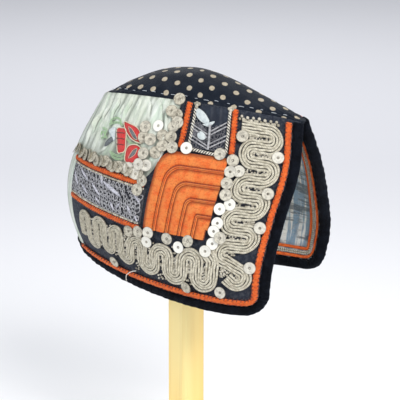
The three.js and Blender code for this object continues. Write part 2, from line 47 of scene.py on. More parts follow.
RINGS = {
    "front": (-91.0, -96.5, -99.5, -102.0, -98.0),
    "back": (91.0, 98.0, 96.0, 83.5, 65.5),
    "opening": (50.0, 56.0, 41.5, 20.0, 3.0),
    "bulge": (90.0, 82.5, 72.5, 58.0, 38.5),
    "bulge_y": (-73.0, -74.0, -69.0, -56.5, -35.5),
    "back_x": (20.0, 56.0, 72.0, 67.0, 43.5),
}
HEM_LINE = {"front": 0.0, "side": 0.0, "back": 17.5}
SEAM_LINE = {"front": 134.5, "side": 149.0, "back": 138.0}
SIDES = {"right": -1, "left": 1}


def through(values, place):
    """A smooth curve through equally spaced values, at places from 0 to 1."""
    values = np.array([2 * values[0] - values[1], *values, 2 * values[-1] - values[-2]])
    at = np.clip(place, 0, 1) * (len(values) - 3)
    i = np.minimum(at.astype(int), len(values) - 4)
    a, b, c, d = (values[i + k] for k in range(4))
    f = at - i
    return b + f / 2 * (c - a + f * (2 * a - 5 * b + 4 * c - d + f * (3 * (b - c) + d - a)))


def line_height(line, s):
    front = line["front"] * (1 - s) * (1 - 2 * s)
    return front + line["side"] * 4 * s * (1 - s) + line["back"] * s * (2 * s - 1)


def unit(vectors):
    return vectors / np.maximum(np.linalg.norm(vectors, axis=-1, keepdims=True), 1e-12)


def head_form(rows=151, steps=241):
    """The left half of the form: points, outward normals and the length of every half ring."""
    t = np.linspace(0, 1, rows)[:, None]
    s = np.linspace(0, 1, steps)[None, :]
    ring = {name: through(column, t) for name, column in RINGS.items()}
    near, mid, far = (1 - s) ** 3, 3 * s * (1 - s) ** 2, 3 * s * s * (1 - s)
    x = ring["opening"] * near + ring["bulge"] * mid + ring["back_x"] * far
    y = ring["front"] * near + ring["bulge_y"] * mid + ring["back"] * (far + s ** 3)
    z = (1 - t) * line_height(HEM_LINE, s) + t * line_height(SEAM_LINE, s)
    drawn = np.stack([x, y, z], -1)
    gaps = np.linalg.norm(np.diff(drawn, axis=1), axis=-1)
    walked = np.concatenate([np.zeros((rows, 1)), np.cumsum(gaps, axis=1)], axis=1)
    points = np.empty_like(drawn)
    for row in range(rows):
        for axis in range(3):
            points[row, :, axis] = np.interp(s[0] * walked[row, -1], walked[row], drawn[row, :, axis])
    normals = unit(np.cross(np.gradient(points, axis=1), np.gradient(points, axis=0)))
    return points, normals, walked[:, -1]


FORM, FORM_NORMAL, LENGTH = head_form()


def half_round(y):
    """How far it is from the front edge to the middle of the back at a height."""
    return np.interp(y, np.linspace(0, TALL, len(LENGTH)), LENGTH)


def on_table(table, x, y):
    row = np.clip(np.asarray(y, float) / TALL, 0, 1) * (table.shape[0] - 1)
    column = np.clip(x / half_round(y), 0, 1) * (table.shape[1] - 1)
    r, c = (np.minimum(v.astype(int), n - 2) for v, n in ((row, table.shape[0]), (column, table.shape[1])))
    f, g = (row - r)[..., None], (column - c)[..., None]
    low = table[r, c] * (1 - g) + table[r, c + 1] * g
    return low * (1 - f) + (table[r + 1, c] * (1 - g) + table[r + 1, c + 1] * g) * f


def lay(side, x, y, z=0.0):
    """Flat places laid on the form: x back from the front edge, y above the hem, z out from the panel."""
    x, y, z = np.broadcast_arrays(*(np.asarray(v, float) for v in (x, y, z)))
    place = on_table(FORM, x, y) + unit(on_table(FORM_NORMAL, x, y)) * z[..., None]
    place[..., 0] *= side
    return (place + [0, FORWARD, HEM]) * MM


def grid_faces(rows, columns, around=False):
    """Quads over a grid of points, closed into a tube along its columns where asked."""
    r, c = np.meshgrid(np.arange(rows - 1), np.arange(columns if around else columns - 1), indexing="ij")
    r, c, n = r.ravel(), c.ravel(), (c.ravel() + 1) % columns
    return np.stack([r * columns + c, r * columns + n, (r + 1) * columns + n, (r + 1) * columns + c], 1)


def tube_faces(rows, columns):
    """The faces of a closed tube over a grid of points, with both of its ends."""
    first = np.arange(columns)[None, :]
    return [grid_faces(rows, columns, around=True), first[:, ::-1], first + (rows - 1) * columns]


def flipped(faces):
    return [f[:, ::-1] for f in faces]


def joined(parts):
    """One set of points, faces and flat places from several."""
    points, faces, flats, start = [], [], [], 0
    for place, face, flat in parts:
        points.append(place.reshape(-1, 3))
        flats.append(np.broadcast_to(flat, place.shape).reshape(-1, 3))
        faces += [f + start for f in ([face] if isinstance(face, np.ndarray) else face)]
        start += len(points[-1])
    return np.concatenate(points), faces, np.concatenate(flats)


def new_piece(name, parts, material, replaces=(), sharp=None):
    """A mesh from points (in metres), faces and flat places, which its material reads."""
    points, faces, flat = joined(parts)
    mesh = bpy.data.meshes.new(name)
    corners = np.concatenate([f.ravel() for f in faces]).astype(np.int32)
    sizes = np.concatenate([np.full(len(f), f.shape[1]) for f in faces]).astype(np.int32)
    mesh.vertices.add(len(points))
    mesh.vertices.foreach_set("co", points.astype(np.float32).ravel())
    mesh.loops.add(len(corners))
    mesh.loops.foreach_set("vertex_index", corners)
    mesh.polygons.add(len(sizes))
    mesh.polygons.foreach_set("loop_start", np.concatenate([[0], np.cumsum(sizes)[:-1]]).astype(np.int32))
    mesh.update(calc_edges=True)
    mesh.polygons.foreach_set("use_smooth", np.full(len(sizes), True))
    if sharp:
        mesh.set_sharp_from_angle(angle=math.radians(sharp))
    places = mesh.attributes.new("flat", "FLOAT_VECTOR", "POINT")
    places.data.foreach_set("vector", flat.astype(np.float32).ravel())
    mesh.materials.append(material)
    piece = bpy.data.objects.new(name, mesh)
    bpy.context.scene.collection.objects.link(piece)
    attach(piece, "root")
    if replaces:
        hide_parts(*replaces)
    return piece


def cloth(side, x, y, low, high):
    """A closed sheet over a grid of flat places, rows up and columns back."""
    x, y, low, high = np.broadcast_arrays(*(np.asarray(v, float) for v in (x, y, low, high)))
    rows, columns = x.shape
    outer = grid_faces(rows, columns)
    count = rows * columns
    rim = np.concatenate([np.arange(columns), np.arange(2, rows) * columns - 1,
                          np.arange(count - 1, count - columns - 1, -1),
                          np.arange(rows - 2, 0, -1) * columns]).astype(int)
    ahead = np.roll(rim, -1)
    walls = np.stack([rim, rim + count, ahead + count, ahead], 1)
    faces = np.concatenate([outer, outer[:, ::-1] + count, walls])
    points = np.stack([lay(side, x, y, high), lay(side, x, y, low)])
    flat = np.stack([np.stack([x, y, high], -1), np.stack([x, y, low], -1)])
    mirrored = np.ndim(side) == 0 and side < 0
    return points, faces[:, ::-1] if mirrored else faces, flat


def feed(tree, socket, value):
    """A socket's own value, or a link from another node's output."""
    if isinstance(value, bpy.types.NodeSocket):
        tree.links.new(value, socket)
    else:
        socket.default_value = value


def add(tree, kind, inputs=None, **settings):
    """A shader node with its settings and inputs; an input may be a value or another node's output."""
    made = tree.nodes.new("ShaderNode" + kind)
    for key, value in settings.items():
        setattr(made, key, value)
    for key, value in (inputs or {}).items():
        feed(tree, made.inputs[key], value)
    return made


def maths(tree, operation, *values):
    return add(tree, "Math", dict(enumerate(values)), operation=operation).outputs[0]


def scaled(tree, value, by):
    return maths(tree, "MULTIPLY", value, by)


def highest(tree, one, other):
    return maths(tree, "MAXIMUM", one, other)


def solid(colour):
    """Red, green and blue with full cover; anything but a tuple is passed on."""
    return (*colour, 1) if isinstance(colour, tuple) else colour


def mixed(tree, share, low, high):
    """Two colours mixed by a value."""
    return add(tree, "Mix", {0: share, 6: solid(low), 7: solid(high)}, data_type="RGBA").outputs[2]


def flat_place(tree):
    return add(tree, "Attribute", attribute_name="flat").outputs["Vector"]


def flat_number(tree, which):
    """One of the three numbers of a flat place."""
    return add(tree, "SeparateXYZ", {0: flat_place(tree)}).outputs[which]


def noise(tree, place, scale, detail=3.0, rough=0.55):
    made = add(tree, "TexNoise", {"Vector": place, "Scale": scale, "Detail": detail, "Roughness": rough})
    return made.outputs[0]


def stretched(tree, place, scale):
    return add(tree, "VectorMath", {0: place, 1: scale}, operation="MULTIPLY").outputs[0]


def ramp(tree, value, low, high):
    """0 below low, 1 above high, smooth between."""
    inputs = {"Value": value, "From Min": low, "From Max": high}
    return add(tree, "MapRange", inputs, interpolation_type="SMOOTHSTEP").outputs[0]


def finish(name, colour, roughness, bumps=(), sheen=0.0, gloss=0.5, **shader):
    """A material: colour and roughness may be functions of its tree, bumps are (height function, mm)."""
    made = bpy.data.materials.new(name)
    made.use_nodes = True
    tree = made.node_tree
    bsdf = tree.nodes["Principled BSDF"]
    shader |= {"Base Color": solid(colour), "Roughness": roughness, "Sheen Weight": sheen,
               "Specular IOR Level": gloss}
    for key, value in shader.items():
        feed(tree, bsdf.inputs[key], value(tree) if callable(value) else value)
    normal = None
    for height, depth in bumps:
        bump = add(tree, "Bump", {"Height": height(tree), "Distance": depth * MM, "Strength": 1.0})
        if normal:
            feed(tree, bump.inputs["Normal"], normal)
        normal = bump.outputs[0]
    if normal:
        feed(tree, bsdf.inputs["Normal"], normal)
    return made


def group(name, inputs, outputs):
    """An empty shader node group with named sockets."""
    made = bpy.data.node_groups.new(name, "ShaderNodeTree")
    for label, (kind, value) in inputs.items():
        socket = made.interface.new_socket(label, in_out="INPUT", socket_type="NodeSocket" + kind)
        socket.default_value = value
    for label, kind in outputs.items():
        made.interface.new_socket(label, in_out="OUTPUT", socket_type="NodeSocket" + kind)
    return made, made.nodes.new("NodeGroupInput").outputs, made.nodes.new("NodeGroupOutput")


def placed(tree, effect, inputs, output):
    """A node group set in a material with that material's own values."""
    made = tree.nodes.new("ShaderNodeGroup")
    made.node_tree = effect
    for key, value in inputs.items():
        feed(tree, made.inputs[key], value)
    return made.outputs[output]


def plain_weave():
    """Threads that pass over and under each other, from flat places in mm."""
    tree, given, out = group("plain weave", {"Flat": ("Vector", (0, 0, 0)), "Threads": ("Float", 2.0)},
                             {"Height": "Float", "Slub": "Float"})
    wander = add(tree, "TexNoise", {"Vector": given["Flat"], "Scale": 0.15, "Detail": 2.0}).outputs[1]
    bent = add(tree, "VectorMath", {0: wander, 1: (1.2, 1.2, 0), 2: given["Flat"]},
               operation="MULTIPLY_ADD").outputs[0]
    axes = add(tree, "SeparateXYZ", {0: bent}).outputs
    counts = [maths(tree, "MULTIPLY", axes[k], given["Threads"]) for k in (0, 1)]
    backs = [maths(tree, "ABSOLUTE", maths(tree, "SINE", scaled(tree, c, math.pi))) for c in counts]
    over = maths(tree, "PINGPONG", maths(tree, "ADD", *(maths(tree, "FLOOR", c) for c in counts)), 1.0)
    height = add(tree, "Mix", {0: over, 2: backs[0], 3: backs[1]}).outputs[0]
    tree.links.new(height, out.inputs["Height"])
    slub = noise(tree, stretched(tree, given["Flat"], (0.25, 1.6, 0.6)), 1.0, 2.0)
    tree.links.new(slub, out.inputs["Slub"])
    return tree


WEAVE = plain_weave()


def worn():
    """Patches of a second colour, as where cloth is faded, soiled or rubbed."""
    tree, given, out = group("worn cloth", {
        "Flat": ("Vector", (0, 0, 0)), "Scale": ("Float", 0.1), "Amount": ("Float", 0.5),
        "Clean": ("Color", (0.5, 0.5, 0.5, 1)), "Worn": ("Color", (0.3, 0.3, 0.3, 1))}, {"Color": "Color"})
    patches = noise(tree, given["Flat"], given["Scale"], 5.0, 0.62)
    share = scaled(tree, ramp(tree, patches, 0.38, 0.68), given["Amount"])
    tree.links.new(mixed(tree, share, given["Clean"], given["Worn"]), out.inputs["Color"])
    return tree


WORN = worn()


def woven(tree, threads, output="Height"):
    return placed(tree, WEAVE, {"Flat": flat_place(tree), "Threads": threads}, output)


def faded(tree, clean, second, scale=0.1, amount=0.6):
    return placed(tree, WORN, {"Flat": flat_place(tree), "Scale": scale, "Amount": amount,
                               "Clean": solid(clean), "Worn": solid(second)}, "Color")


def patchy(clean, second, scale, amount):
    """The colour function of a cloth or thread with no more than worn patches."""
    return lambda tree: faded(tree, clean, second, scale, amount)


def weave(threads):
    return lambda tree: woven(tree, threads)


def lumps(scale=1.0, detail=3.0, rough=0.55, stretch=None):
    """A height function of soft unevenness over the flat places, drawn out where asked."""
    def height(tree):
        place = flat_place(tree)
        return noise(tree, stretched(tree, place, stretch) if stretch else place, scale, detail, rough)
    return height


NAVY, NAVY_WORN, FLUFF = (0.014, 0.020, 0.038), (0.06, 0.07, 0.088), (0.24, 0.25, 0.26)


def navy_colour(tree):
    """Navy, worn pale in patches, with grey fluff caught in the weave."""
    fluff = scaled(tree, ramp(tree, noise(tree, flat_place(tree), 1.4, 3.0, 0.7), 0.54, 0.68), 0.3)
    return mixed(tree, fluff, faded(tree, NAVY, NAVY_WORN, 0.35, 0.8), FLUFF)


navy_cotton = finish("navy cotton", navy_colour, 0.85, [(weave(1.6), 0.2)],
                     sheen=0.08, gloss=0.25)

PANEL_WALL, SEAM_GAP = 2.0, 0.15
EDGE, CORNER = 2.3, 18.0
GORE_HEM, GORE_MIDDLE = 20.0, 36.0


def gore_half(y):
    return GORE_HEM + (GORE_MIDDLE - GORE_HEM) * np.sin(np.pi * y / TALL)


def panel_back(y):
    return half_round(y) - gore_half(y)


def panel_front(y):
    below = np.maximum(CORNER - y, 0)
    return CORNER - np.sqrt(np.maximum((CORNER - EDGE) ** 2 - below ** 2, 0))


def rows_to(back, rows, columns):
    """Rows of places from the front edge to a back edge."""
    start = panel_front(rows)
    return start + (back - start) * np.linspace(0, 1, columns)[None, :]


ROWS_UP = EDGE + (TALL - SEAM_GAP - EDGE) * np.linspace(0, 1, 61)[:, None] ** 1.15
for label, side in SIDES.items():
    x = rows_to(panel_back(ROWS_UP) - SEAM_GAP, ROWS_UP, 81)
    panel = new_piece(f"panel_{label}", [cloth(side, x, ROWS_UP, -PANEL_WALL, 0.0)],
                      navy_cotton, [f"side_panel_{label}"], sharp=50)

# The silk gore
# A strip of pale silk let in down the middle of the back, so that the two stiff panels can be drawn
# in. It is cut a little too wide and eased, which leaves soft upright ripples.
SILK, SILK_PALE = (0.66, 0.71, 0.60), (0.84, 0.88, 0.82)
# SILK_SHADE is painted shade, for the grey streaks and the valleys between the gathers.
SILK_GREEN, SILK_SHADE = (0.42, 0.60, 0.42), (0.20, 0.23, 0.18)


def eased(x, y, depth, seed):
    """The height of soft upright gathers of uneven width."""
    wave = np.sin(x * 0.55 + seed + 0.8 * np.sin(y * 0.045 + seed))
    return depth * (0.5 + 0.3 * wave + 0.2 * np.sin(x * 1.27 + 2 * seed + 0.6 * np.sin(y * 0.06)))


def leaning(tree):
    """Flat places sheared, so that what is stretched upwards leans with the gathers."""
    x, y, z = add(tree, "SeparateXYZ", {0: flat_place(tree)}).outputs
    return add(tree, "CombineXYZ", {0: maths(tree, "MULTIPLY_ADD", y, 0.35, x), 1: y, 2: z}).outputs[0]


def silk_streaks_and_shade(tree):
    """Pale silk with green and white streaks, and painted shade: grey streaks and darker valleys between
    gathers.
    """
    wide = noise(tree, stretched(tree, leaning(tree), (0.16, 0.035, 0)), 1.0, 3.0, 0.6)
    fine = noise(tree, stretched(tree, leaning(tree), (0.55, 0.07, 0)), 1.0, 4.0, 0.6)
    base = faded(tree, SILK, SILK_PALE, 0.05, 0.8)
    green = mixed(tree, scaled(tree, ramp(tree, wide, 0.5, 0.64), 0.4), base, SILK_GREEN)
    lift = flat_number(tree, 2)
    # Painted shade: darker where the silk lies low between gathers, and along fine grey streaks.
    valley_shade = scaled(tree, ramp(tree, lift, 1.9, 1.1), ramp(tree, lift, 0.2, 0.9))
    shade_streak = ramp(tree, fine, 0.53, 0.68)
    shade = highest(tree, scaled(tree, shade_streak, 0.32), scaled(tree, valley_shade, 0.75))
    return mixed(tree, shade, green, SILK_SHADE)


pale_silk = finish("pale silk", silk_streaks_and_shade, 0.42,
                   [(lambda t: noise(t, stretched(t, leaning(t), (0.5, 0.09, 0)), 1.0, 5.0), 1.5),
                    (weave(3.2), 0.05)], sheen=0.15, gloss=0.5)

across = np.linspace(-1, 1, 65)[None, :]
sign = np.where(across < 0, -1, 1)
from_middle = np.abs(across) * (gore_half(ROWS_UP) - SEAM_GAP)
ripple = eased(from_middle * sign, ROWS_UP, 0.9, 1.0) * (1 - across ** 8)
points, faces, flat = cloth(sign, half_round(ROWS_UP) - from_middle, ROWS_UP, -PANEL_WALL, ripple)
gore = new_piece("gore", [(points, faces[:, ::-1], flat)], pale_silk, ["back_gore"], sharp=50)

# The lining
# Coarse blue and white checked cotton, faded, cut like the outside in two halves and caught in with
# the binding. It shows inside the far panel and from below.
LINING_FACE, LINING_WALL, LINING_SHORT, LINING_GAP = -2.4, 1.0, 14.0, 0.2
CHECK_PALE, CHECK_BLUE = (0.97, 1.0, 0.97), (0.26, 0.42, 0.58)
CHECK_DARK, CHECK_SLUB = (0.075, 0.105, 0.13), (0.62, 0.66, 0.68)


def checks(tree):
    place = flat_place(tree)
    slow = noise(tree, stretched(tree, place, (0.16, 0.012, 0)), 1.0, 4.0, 0.7)
    cross = noise(tree, stretched(tree, place, (0.02, 0.11, 0)), 1.0, 4.0, 0.65)
    stripe = mixed(tree, ramp(tree, slow, 0.44, 0.54), CHECK_PALE, CHECK_BLUE)
    band = mixed(tree, scaled(tree, ramp(tree, cross, 0.49, 0.56), 0.8), stripe, CHECK_DARK)
    slub = ramp(tree, woven(tree, 1.6, "Slub"), 0.5, 0.7)
    return mixed(tree, scaled(tree, slub, 0.5), band, CHECK_SLUB)


checked_lining = finish("checked lining", checks, 0.9, [(weave(1.6), 0.25)],
                        sheen=0.3, gloss=0.25)
LINING_ROWS = EDGE + (TALL - LINING_SHORT - EDGE) * np.linspace(0, 1, 61)[:, None]
for label, side in SIDES.items():
    x = rows_to(half_round(LINING_ROWS) - LINING_GAP, LINING_ROWS, 101)
    lining = new_piece(f"lining_cloth_{label}",
                       [cloth(side, x, LINING_ROWS, LINING_FACE - LINING_WALL, LINING_FACE)],
                       checked_lining, [f"lining_{label}"], sharp=50)

# The crown
# A teardrop of navy satin with woven pale dots, gathered a little into the seam and tacked down just
# above it with long stitches of pale thread. The knob of the stand lifts it in the middle.
CROWN = {"top": 160.0, "middle": -14.0, "front_power": 1.5, "back_power": 2.5, "bump": 5.8,
         "radius": 59.0, "wall": 2.2, "peak": 167.0}
SATIN, SATIN_WORN = (0.005, 0.009, 0.018), (0.012, 0.018, 0.030)
DOT, DOT_WORN = (0.52, 0.46, 0.35), (0.34, 0.27, 0.18)
DOT_ROW, DOT_STEP, DOT_FIRST, DOT_RADIUS = (3.1, 11.7), (-9.8, 6.6), (-15.6, -19.5), 2.15


def on_crown(around, out):
    """Around from -1 to 1 with 0 at the front, out from 0 in the middle to 1 at the seam."""
    rim = on_table(FORM, np.abs(around) * LENGTH[-1], TALL)
    rim_x = np.where((np.abs(around) < 1e-6) | (np.abs(around) > 1 - 1e-6), 0, rim[..., 0])
    x = rim_x * np.sign(around) * out
    y = CROWN["middle"] + (rim[..., 1] - CROWN["middle"]) * out
    bump = CROWN["bump"] * np.exp(-(x * x + y * y) / CROWN["radius"] ** 2)
    turned = (1 - np.cos(np.pi * around)) / 2
    power = CROWN["front_power"] + (CROWN["back_power"] - CROWN["front_power"]) * turned
    z = CROWN["top"] - (CROWN["top"] - rim[..., 2]) * out ** power
    return np.stack([x, y, z + bump * (1 - out * out)], -1)


def crown_normal(around, out):
    inner = np.maximum(out - 0.01, 0.02)
    outer = np.minimum(inner + 0.02, 1)
    outward = on_crown(around, outer) - on_crown(around, inner)
    sideways = on_crown(np.minimum(around + 0.01, 1), outer) - on_crown(np.maximum(around - 0.01, -1), outer)
    return unit(np.cross(outward, sideways))


def on_crown_cloth(around, out, lift):
    place = on_crown(around, out) + crown_normal(around, out) * np.asarray(lift)[..., None]
    return (place + [0, FORWARD, HEM]) * MM


def satin_dots(tree):
    """Pale dots on a slanting lattice, with ragged edges."""
    (row_x, row_y), (step_x, step_y) = DOT_ROW, DOT_STEP
    area = row_x * step_y - row_y * step_x
    place = add(tree, "VectorMath", {0: flat_place(tree), 1: (*DOT_FIRST, 0)},
                operation="SUBTRACT").outputs[0]
    shares = [add(tree, "VectorMath", {0: place, 1: axis}, operation="DOT_PRODUCT").outputs["Value"]
              for axis in ((step_y / area, -step_x / area, 0), (-row_y / area, row_x / area, 0))]
    parts = [maths(tree, "SUBTRACT", s, maths(tree, "ROUND", s)) for s in shares]
    away = [maths(tree, "ADD", scaled(tree, parts[0], row), scaled(tree, parts[1], step))
            for row, step in zip(DOT_ROW, DOT_STEP)]
    reach = maths(tree, "SQRT", maths(tree, "ADD", *(scaled(tree, v, v) for v in away)))
    ragged = scaled(tree, noise(tree, flat_place(tree), 0.9, 2.0), 0.9)
    return ramp(tree, maths(tree, "ADD", reach, ragged), DOT_RADIUS + 0.75, DOT_RADIUS + 0.35)


def satin_colour(tree):
    ground = faded(tree, SATIN, SATIN_WORN, 0.08, 0.7)
    return mixed(tree, satin_dots(tree), ground, faded(tree, DOT, DOT_WORN, 0.4, 0.7))


dotted_satin = finish("dotted satin", satin_colour, 0.62,
                      [(satin_dots, 0.15), (weave(3.0), 0.06), (lumps(0.12), 0.8)],
                      gloss=0.16)

rings_out = np.concatenate([[0.02], np.linspace(0.05, 0.9, 34), np.linspace(0.915, 0.997, 12)])
around, out = np.meshgrid(np.linspace(-1, 1, 241)[:-1], rings_out)
fullness = np.clip((out - 0.72) / 0.28, 0, 1)
pucker = 0.5 * fullness * np.sin(around * 150 + 3 * np.sin(around * 17)) * np.sin(around * 41)
seam_dip = -0.5 * np.exp(-((out - 0.93) / 0.025) ** 2)
waves = 0.5 * np.sin(around * 11 + 3 * out) * np.sin(out * 9) * out
crown_lift = pucker + seam_dip + waves
crown_shape = on_crown(around, out)
peak = np.broadcast_to([0, CROWN["middle"], CROWN["peak"]], crown_shape[:1].shape)
reach = np.cumsum(np.linalg.norm(np.diff(crown_shape, axis=0, prepend=peak), axis=-1), axis=0)[..., None]
heading = unit(crown_shape[..., :2] - [0, CROWN["middle"]])
flat = np.concatenate([heading * reach + [0, CROWN["middle"]], 0 * reach], -1)
rows, columns = crown_lift.shape
top = on_crown_cloth(around, out, crown_lift)
below = on_crown_cloth(around, out, np.full_like(crown_lift, -CROWN["wall"]))
shell = grid_faces(rows, columns, around=True)
count = rows * columns
rim = np.arange(columns)
ahead = np.roll(rim, -1)
last = count - columns
walls = np.stack([rim + last, ahead + last, ahead + last + count, rim + last + count], 1)
caps = [rim[None, ::-1], rim[None, :] + count]
faces = [shell[:, ::-1], shell + count, walls[:, ::-1], *caps]
crown = new_piece("crown_cloth", [(np.stack([top, below]), faces, np.stack([flat, flat]))],
                  dotted_satin, ["crown"], sharp=60)

# The velvet binding
# Black cotton velvet cut on the bias, folded over the edge of panel, lining and tape, and stitched
# through. The pile is long, so the edge looks soft and a little lumpy at every stitch.
BINDING = {"width": 8.5, "out": 2.3, "inside": -5.9, "top": 148.2, "thin_from": 138.0, "thin_over": 10.0,
           "thinner": 3.4, "lump_every": 1.5}
VELVET, VELVET_WORN = (0.0025, 0.003, 0.005), (0.007, 0.009, 0.015)


def line_places(start, end, step=1.5):
    count = max(int(np.hypot(end[0] - start[0], end[1] - start[1]) / step), 1)
    return np.linspace(start, end, count + 1)


def arc_places(middle, radius, start, end, step=1.0):
    count = max(int(abs(end - start) * np.pi / 180 * radius / step), 3)
    angle = np.radians(np.linspace(start, end, count + 1))[:, None]
    return np.array(middle) + radius * np.concatenate([np.cos(angle), np.sin(angle)], 1)


def edge_places(inset, top, back):
    """Down the front edge, round the lower corner and back along the hem."""
    return np.concatenate([line_places((inset, top), (inset, CORNER))[:-1],
                           arc_places((CORNER, CORNER), CORNER - inset, 180, 270)[:-1],
                           line_places((CORNER, inset), (back, inset))])


def smoothed(places, times):
    for _ in range(times):
        places[1:-1] = (places[:-2] + 2 * places[1:-1] + places[2:]) / 4
    return places


def walked(places):
    """How far along a line each of its places is."""
    return np.concatenate([[0], np.cumsum(np.linalg.norm(np.diff(places, axis=0), axis=1))])


def strip(side, places, section, seed=0.0, laid_flat=False):
    """A closed strip whose section (across, rise) may change along flat places."""
    places = np.asarray(places, float)
    section = np.broadcast_to(section, (len(places), *np.shape(section)[-2:]))
    way = unit(np.gradient(places, axis=0))
    across, rise = section[..., 0], section[..., 1]
    x = places[:, :1] + way[:, 1:] * across
    y = places[:, 1:] - way[:, :1] * across
    rows, columns = x.shape
    faces = tube_faces(rows, columns)
    along = walked(places)[:, None]
    turn = np.arange(columns)[None, :] / columns
    flat = np.stack(np.broadcast_arrays(x, y, rise) if laid_flat else
                    np.broadcast_arrays(along, turn, seed + 0.0 * x), -1)
    return lay(side, x, y, rise), faces if side < 0 else flipped(faces), flat


def blunt(wave):
    """A round wave pushed out towards a square."""
    return np.sign(wave) * np.abs(wave) ** 0.62


velvet = finish("velvet", patchy(VELVET, VELVET_WORN, 0.12, 0.9), 0.95,
                [(lumps(1.3, 4.0, 0.7), 0.7), (lumps(5.0, 2.0), 0.35)],
                sheen=0.12, gloss=0.08, **{"Sheen Roughness": 0.3, "Sheen Tint": (0.35, 0.42, 0.6, 1)})
BINDING_TURNS = np.radians([200, 170, 140, 115, 90, 65, 45, 20, 0, -20, -45, -65, -90, -115, -140, -170])
for label, side in SIDES.items():
    places = edge_places(0, BINDING["top"], half_round(0.0) - SEAM_GAP)
    along = np.arange(len(places))[:, None] * BINDING["lump_every"]
    plump = 1 + 0.06 * np.sin(along * 0.95 + side) + 0.05 * np.sin(along * 0.37 + 2)
    width = BINDING["width"] + 0.35 * np.sin(along * 0.52 + side) + 0.25 * np.sin(along * 1.13)
    near_top = np.clip((places[:, 1:] - BINDING["thin_from"]) / BINDING["thin_over"], 0, 1)
    thinner = near_top * BINDING["thinner"]
    middle = (BINDING["out"] + BINDING["inside"] + thinner) / 2
    half = (BINDING["out"] - BINDING["inside"] - thinner) / 2
    across = -width / 2 + width / 2 * blunt(np.cos(BINDING_TURNS)) * 0.985
    rise = middle + half * blunt(np.sin(BINDING_TURNS)) * plump
    new_piece(f"binding_{label}", [strip(side, places, np.stack([across, rise], -1), laid_flat=True)],
              velvet, [f"edge_binding_{label}"])

# The orange cords
# Strips of orange cotton rolled into a cord as thick as a pencil lead and whipped down along both
# edges with dark thread. One frames the panel inside the binding, four more divide the fields.
TRIM = 0.5
BORDER = {"inset": 11.5, "width": 5.0, "height": 2.2}
CORD = {"width": 4.6, "height": 2.0}
ROLL = {"pitch": 2.4, "drawn": 0.16, "sides": 12}
WHIP = {"slant": 2.2, "out": (0.30, 0.42, 0.52, 0.60), "up": (0.90, 0.72, 0.35, 0.0)}
WHIP_SECTION = [(-0.32, -0.15), (0.32, -0.15), (0.26, 0.3), (-0.26, 0.3)]
CORDS = {
    "upper_back": ((91, 118), (86, 149)),
    "upper_front": ((52, 118), (51.5, 149)),
    "side_upper": ((112, 88.5), (188, 94.5)),
    "side_lower": ((111, 55), (188, 62.6)),
}
ORANGE, ORANGE_DEEP = (0.92, 0.15, 0.024), (0.62, 0.06, 0.010)
ORANGE_SLUB, ORANGE_SOIL = (0.95, 0.28, 0.06), (0.34, 0.028, 0.008)


def slubs(tree, threads, share):
    """Where thicker threads of the weave stand out."""
    return scaled(tree, ramp(tree, woven(tree, threads, "Slub"), 0.45, 0.7), share)


def orange_colour(tree):
    body = mixed(tree, slubs(tree, 2.0, 0.5), faded(tree, ORANGE, ORANGE_DEEP, 0.3, 0.9), ORANGE_SLUB)
    fleck = ramp(tree, noise(tree, flat_place(tree), 0.9, 3.0, 0.7), 0.52, 0.66)
    return mixed(tree, scaled(tree, fleck, 0.6), body, ORANGE_SOIL)


orange_cotton = finish("orange cotton", orange_colour, 0.8, [(weave(2.4), 0.14), (lumps(0.5, 4.0), 0.4)],
                       sheen=0.3, gloss=0.25, **{"Sheen Tint": (1, 0.6, 0.35, 1)})
dark_thread = finish("dark thread", (0.10, 0.012, 0.008), 0.8, sheen=0.3)


def between(at, walk, places):
    """Places at given lengths along a line."""
    return np.stack([np.interp(at, walk, places[:, k]) for k in (0, 1)], -1)


def rolled(side, places, width, height):
    """A rolled strip drawn in at every whipping stitch."""
    step = np.linalg.norm(np.diff(places, axis=0), axis=1).mean()
    along = np.arange(len(places))[:, None] * step
    turns = np.radians(np.arange(ROLL["sides"]) * 360.0 / ROLL["sides"])
    at_stitch = 0.5 + 0.5 * np.cos(2 * np.pi * along / ROLL["pitch"])
    drawn = 1 - ROLL["drawn"] * at_stitch + 0.04 * np.sin(along * 0.7)
    across = width / 2 * np.cos(turns) * drawn
    rise = TRIM + height * (0.5 + 0.5 * np.sin(turns)) * np.where(np.sin(turns) < 0, 1, drawn)
    return strip(side, places, np.stack([across, rise], -1), laid_flat=True)


def whipping(side, places, width, height, pitch):
    """Slanting stitches over both edges of a cord."""
    way, walk, parts = unit(np.gradient(places, axis=0)), walked(places), []
    rises = np.array([height * up for up in WHIP["up"]]) + TRIM
    section = np.array(WHIP_SECTION)[None] + np.stack([0 * rises, rises], -1)[:, None]
    for edge in (-1, 1):
        for k, at in enumerate(np.arange(1.0, walk[-1] - 1.0, pitch)):
            middle, along = between(at, walk, places), between(at, walk, way)
            out = np.array([along[1], -along[0]]) * edge
            ends = [middle + out * width * f + along * (0.5 - f) * WHIP["slant"] for f in WHIP["out"]]
            parts.append(strip(side, ends, section, seed=k))
    return parts


for label, side in SIDES.items():
    border = smoothed(edge_places(BORDER["inset"], TALL - 3, panel_back(BORDER["inset"]) - 1), 4)
    new_piece(f"border_roll_{label}", [rolled(side, border, BORDER["width"], BORDER["height"])],
              orange_cotton, [f"border_cord_{label}"])
    new_piece(f"border_whipping_{label}", whipping(side, border, BORDER["width"], BORDER["height"], 3.2),
              dark_thread)
    for name, ends in CORDS.items():
        places = line_places(*ends, 0.8)
        new_piece(f"cord_{name}_{label}", [rolled(side, places, **CORD)],
                  orange_cotton, [f"orange_cord_{name}_{label}"])
        new_piece(f"cord_{name}_whipping_{label}", whipping(side, places, **CORD, pitch=2.2),
                  dark_thread)

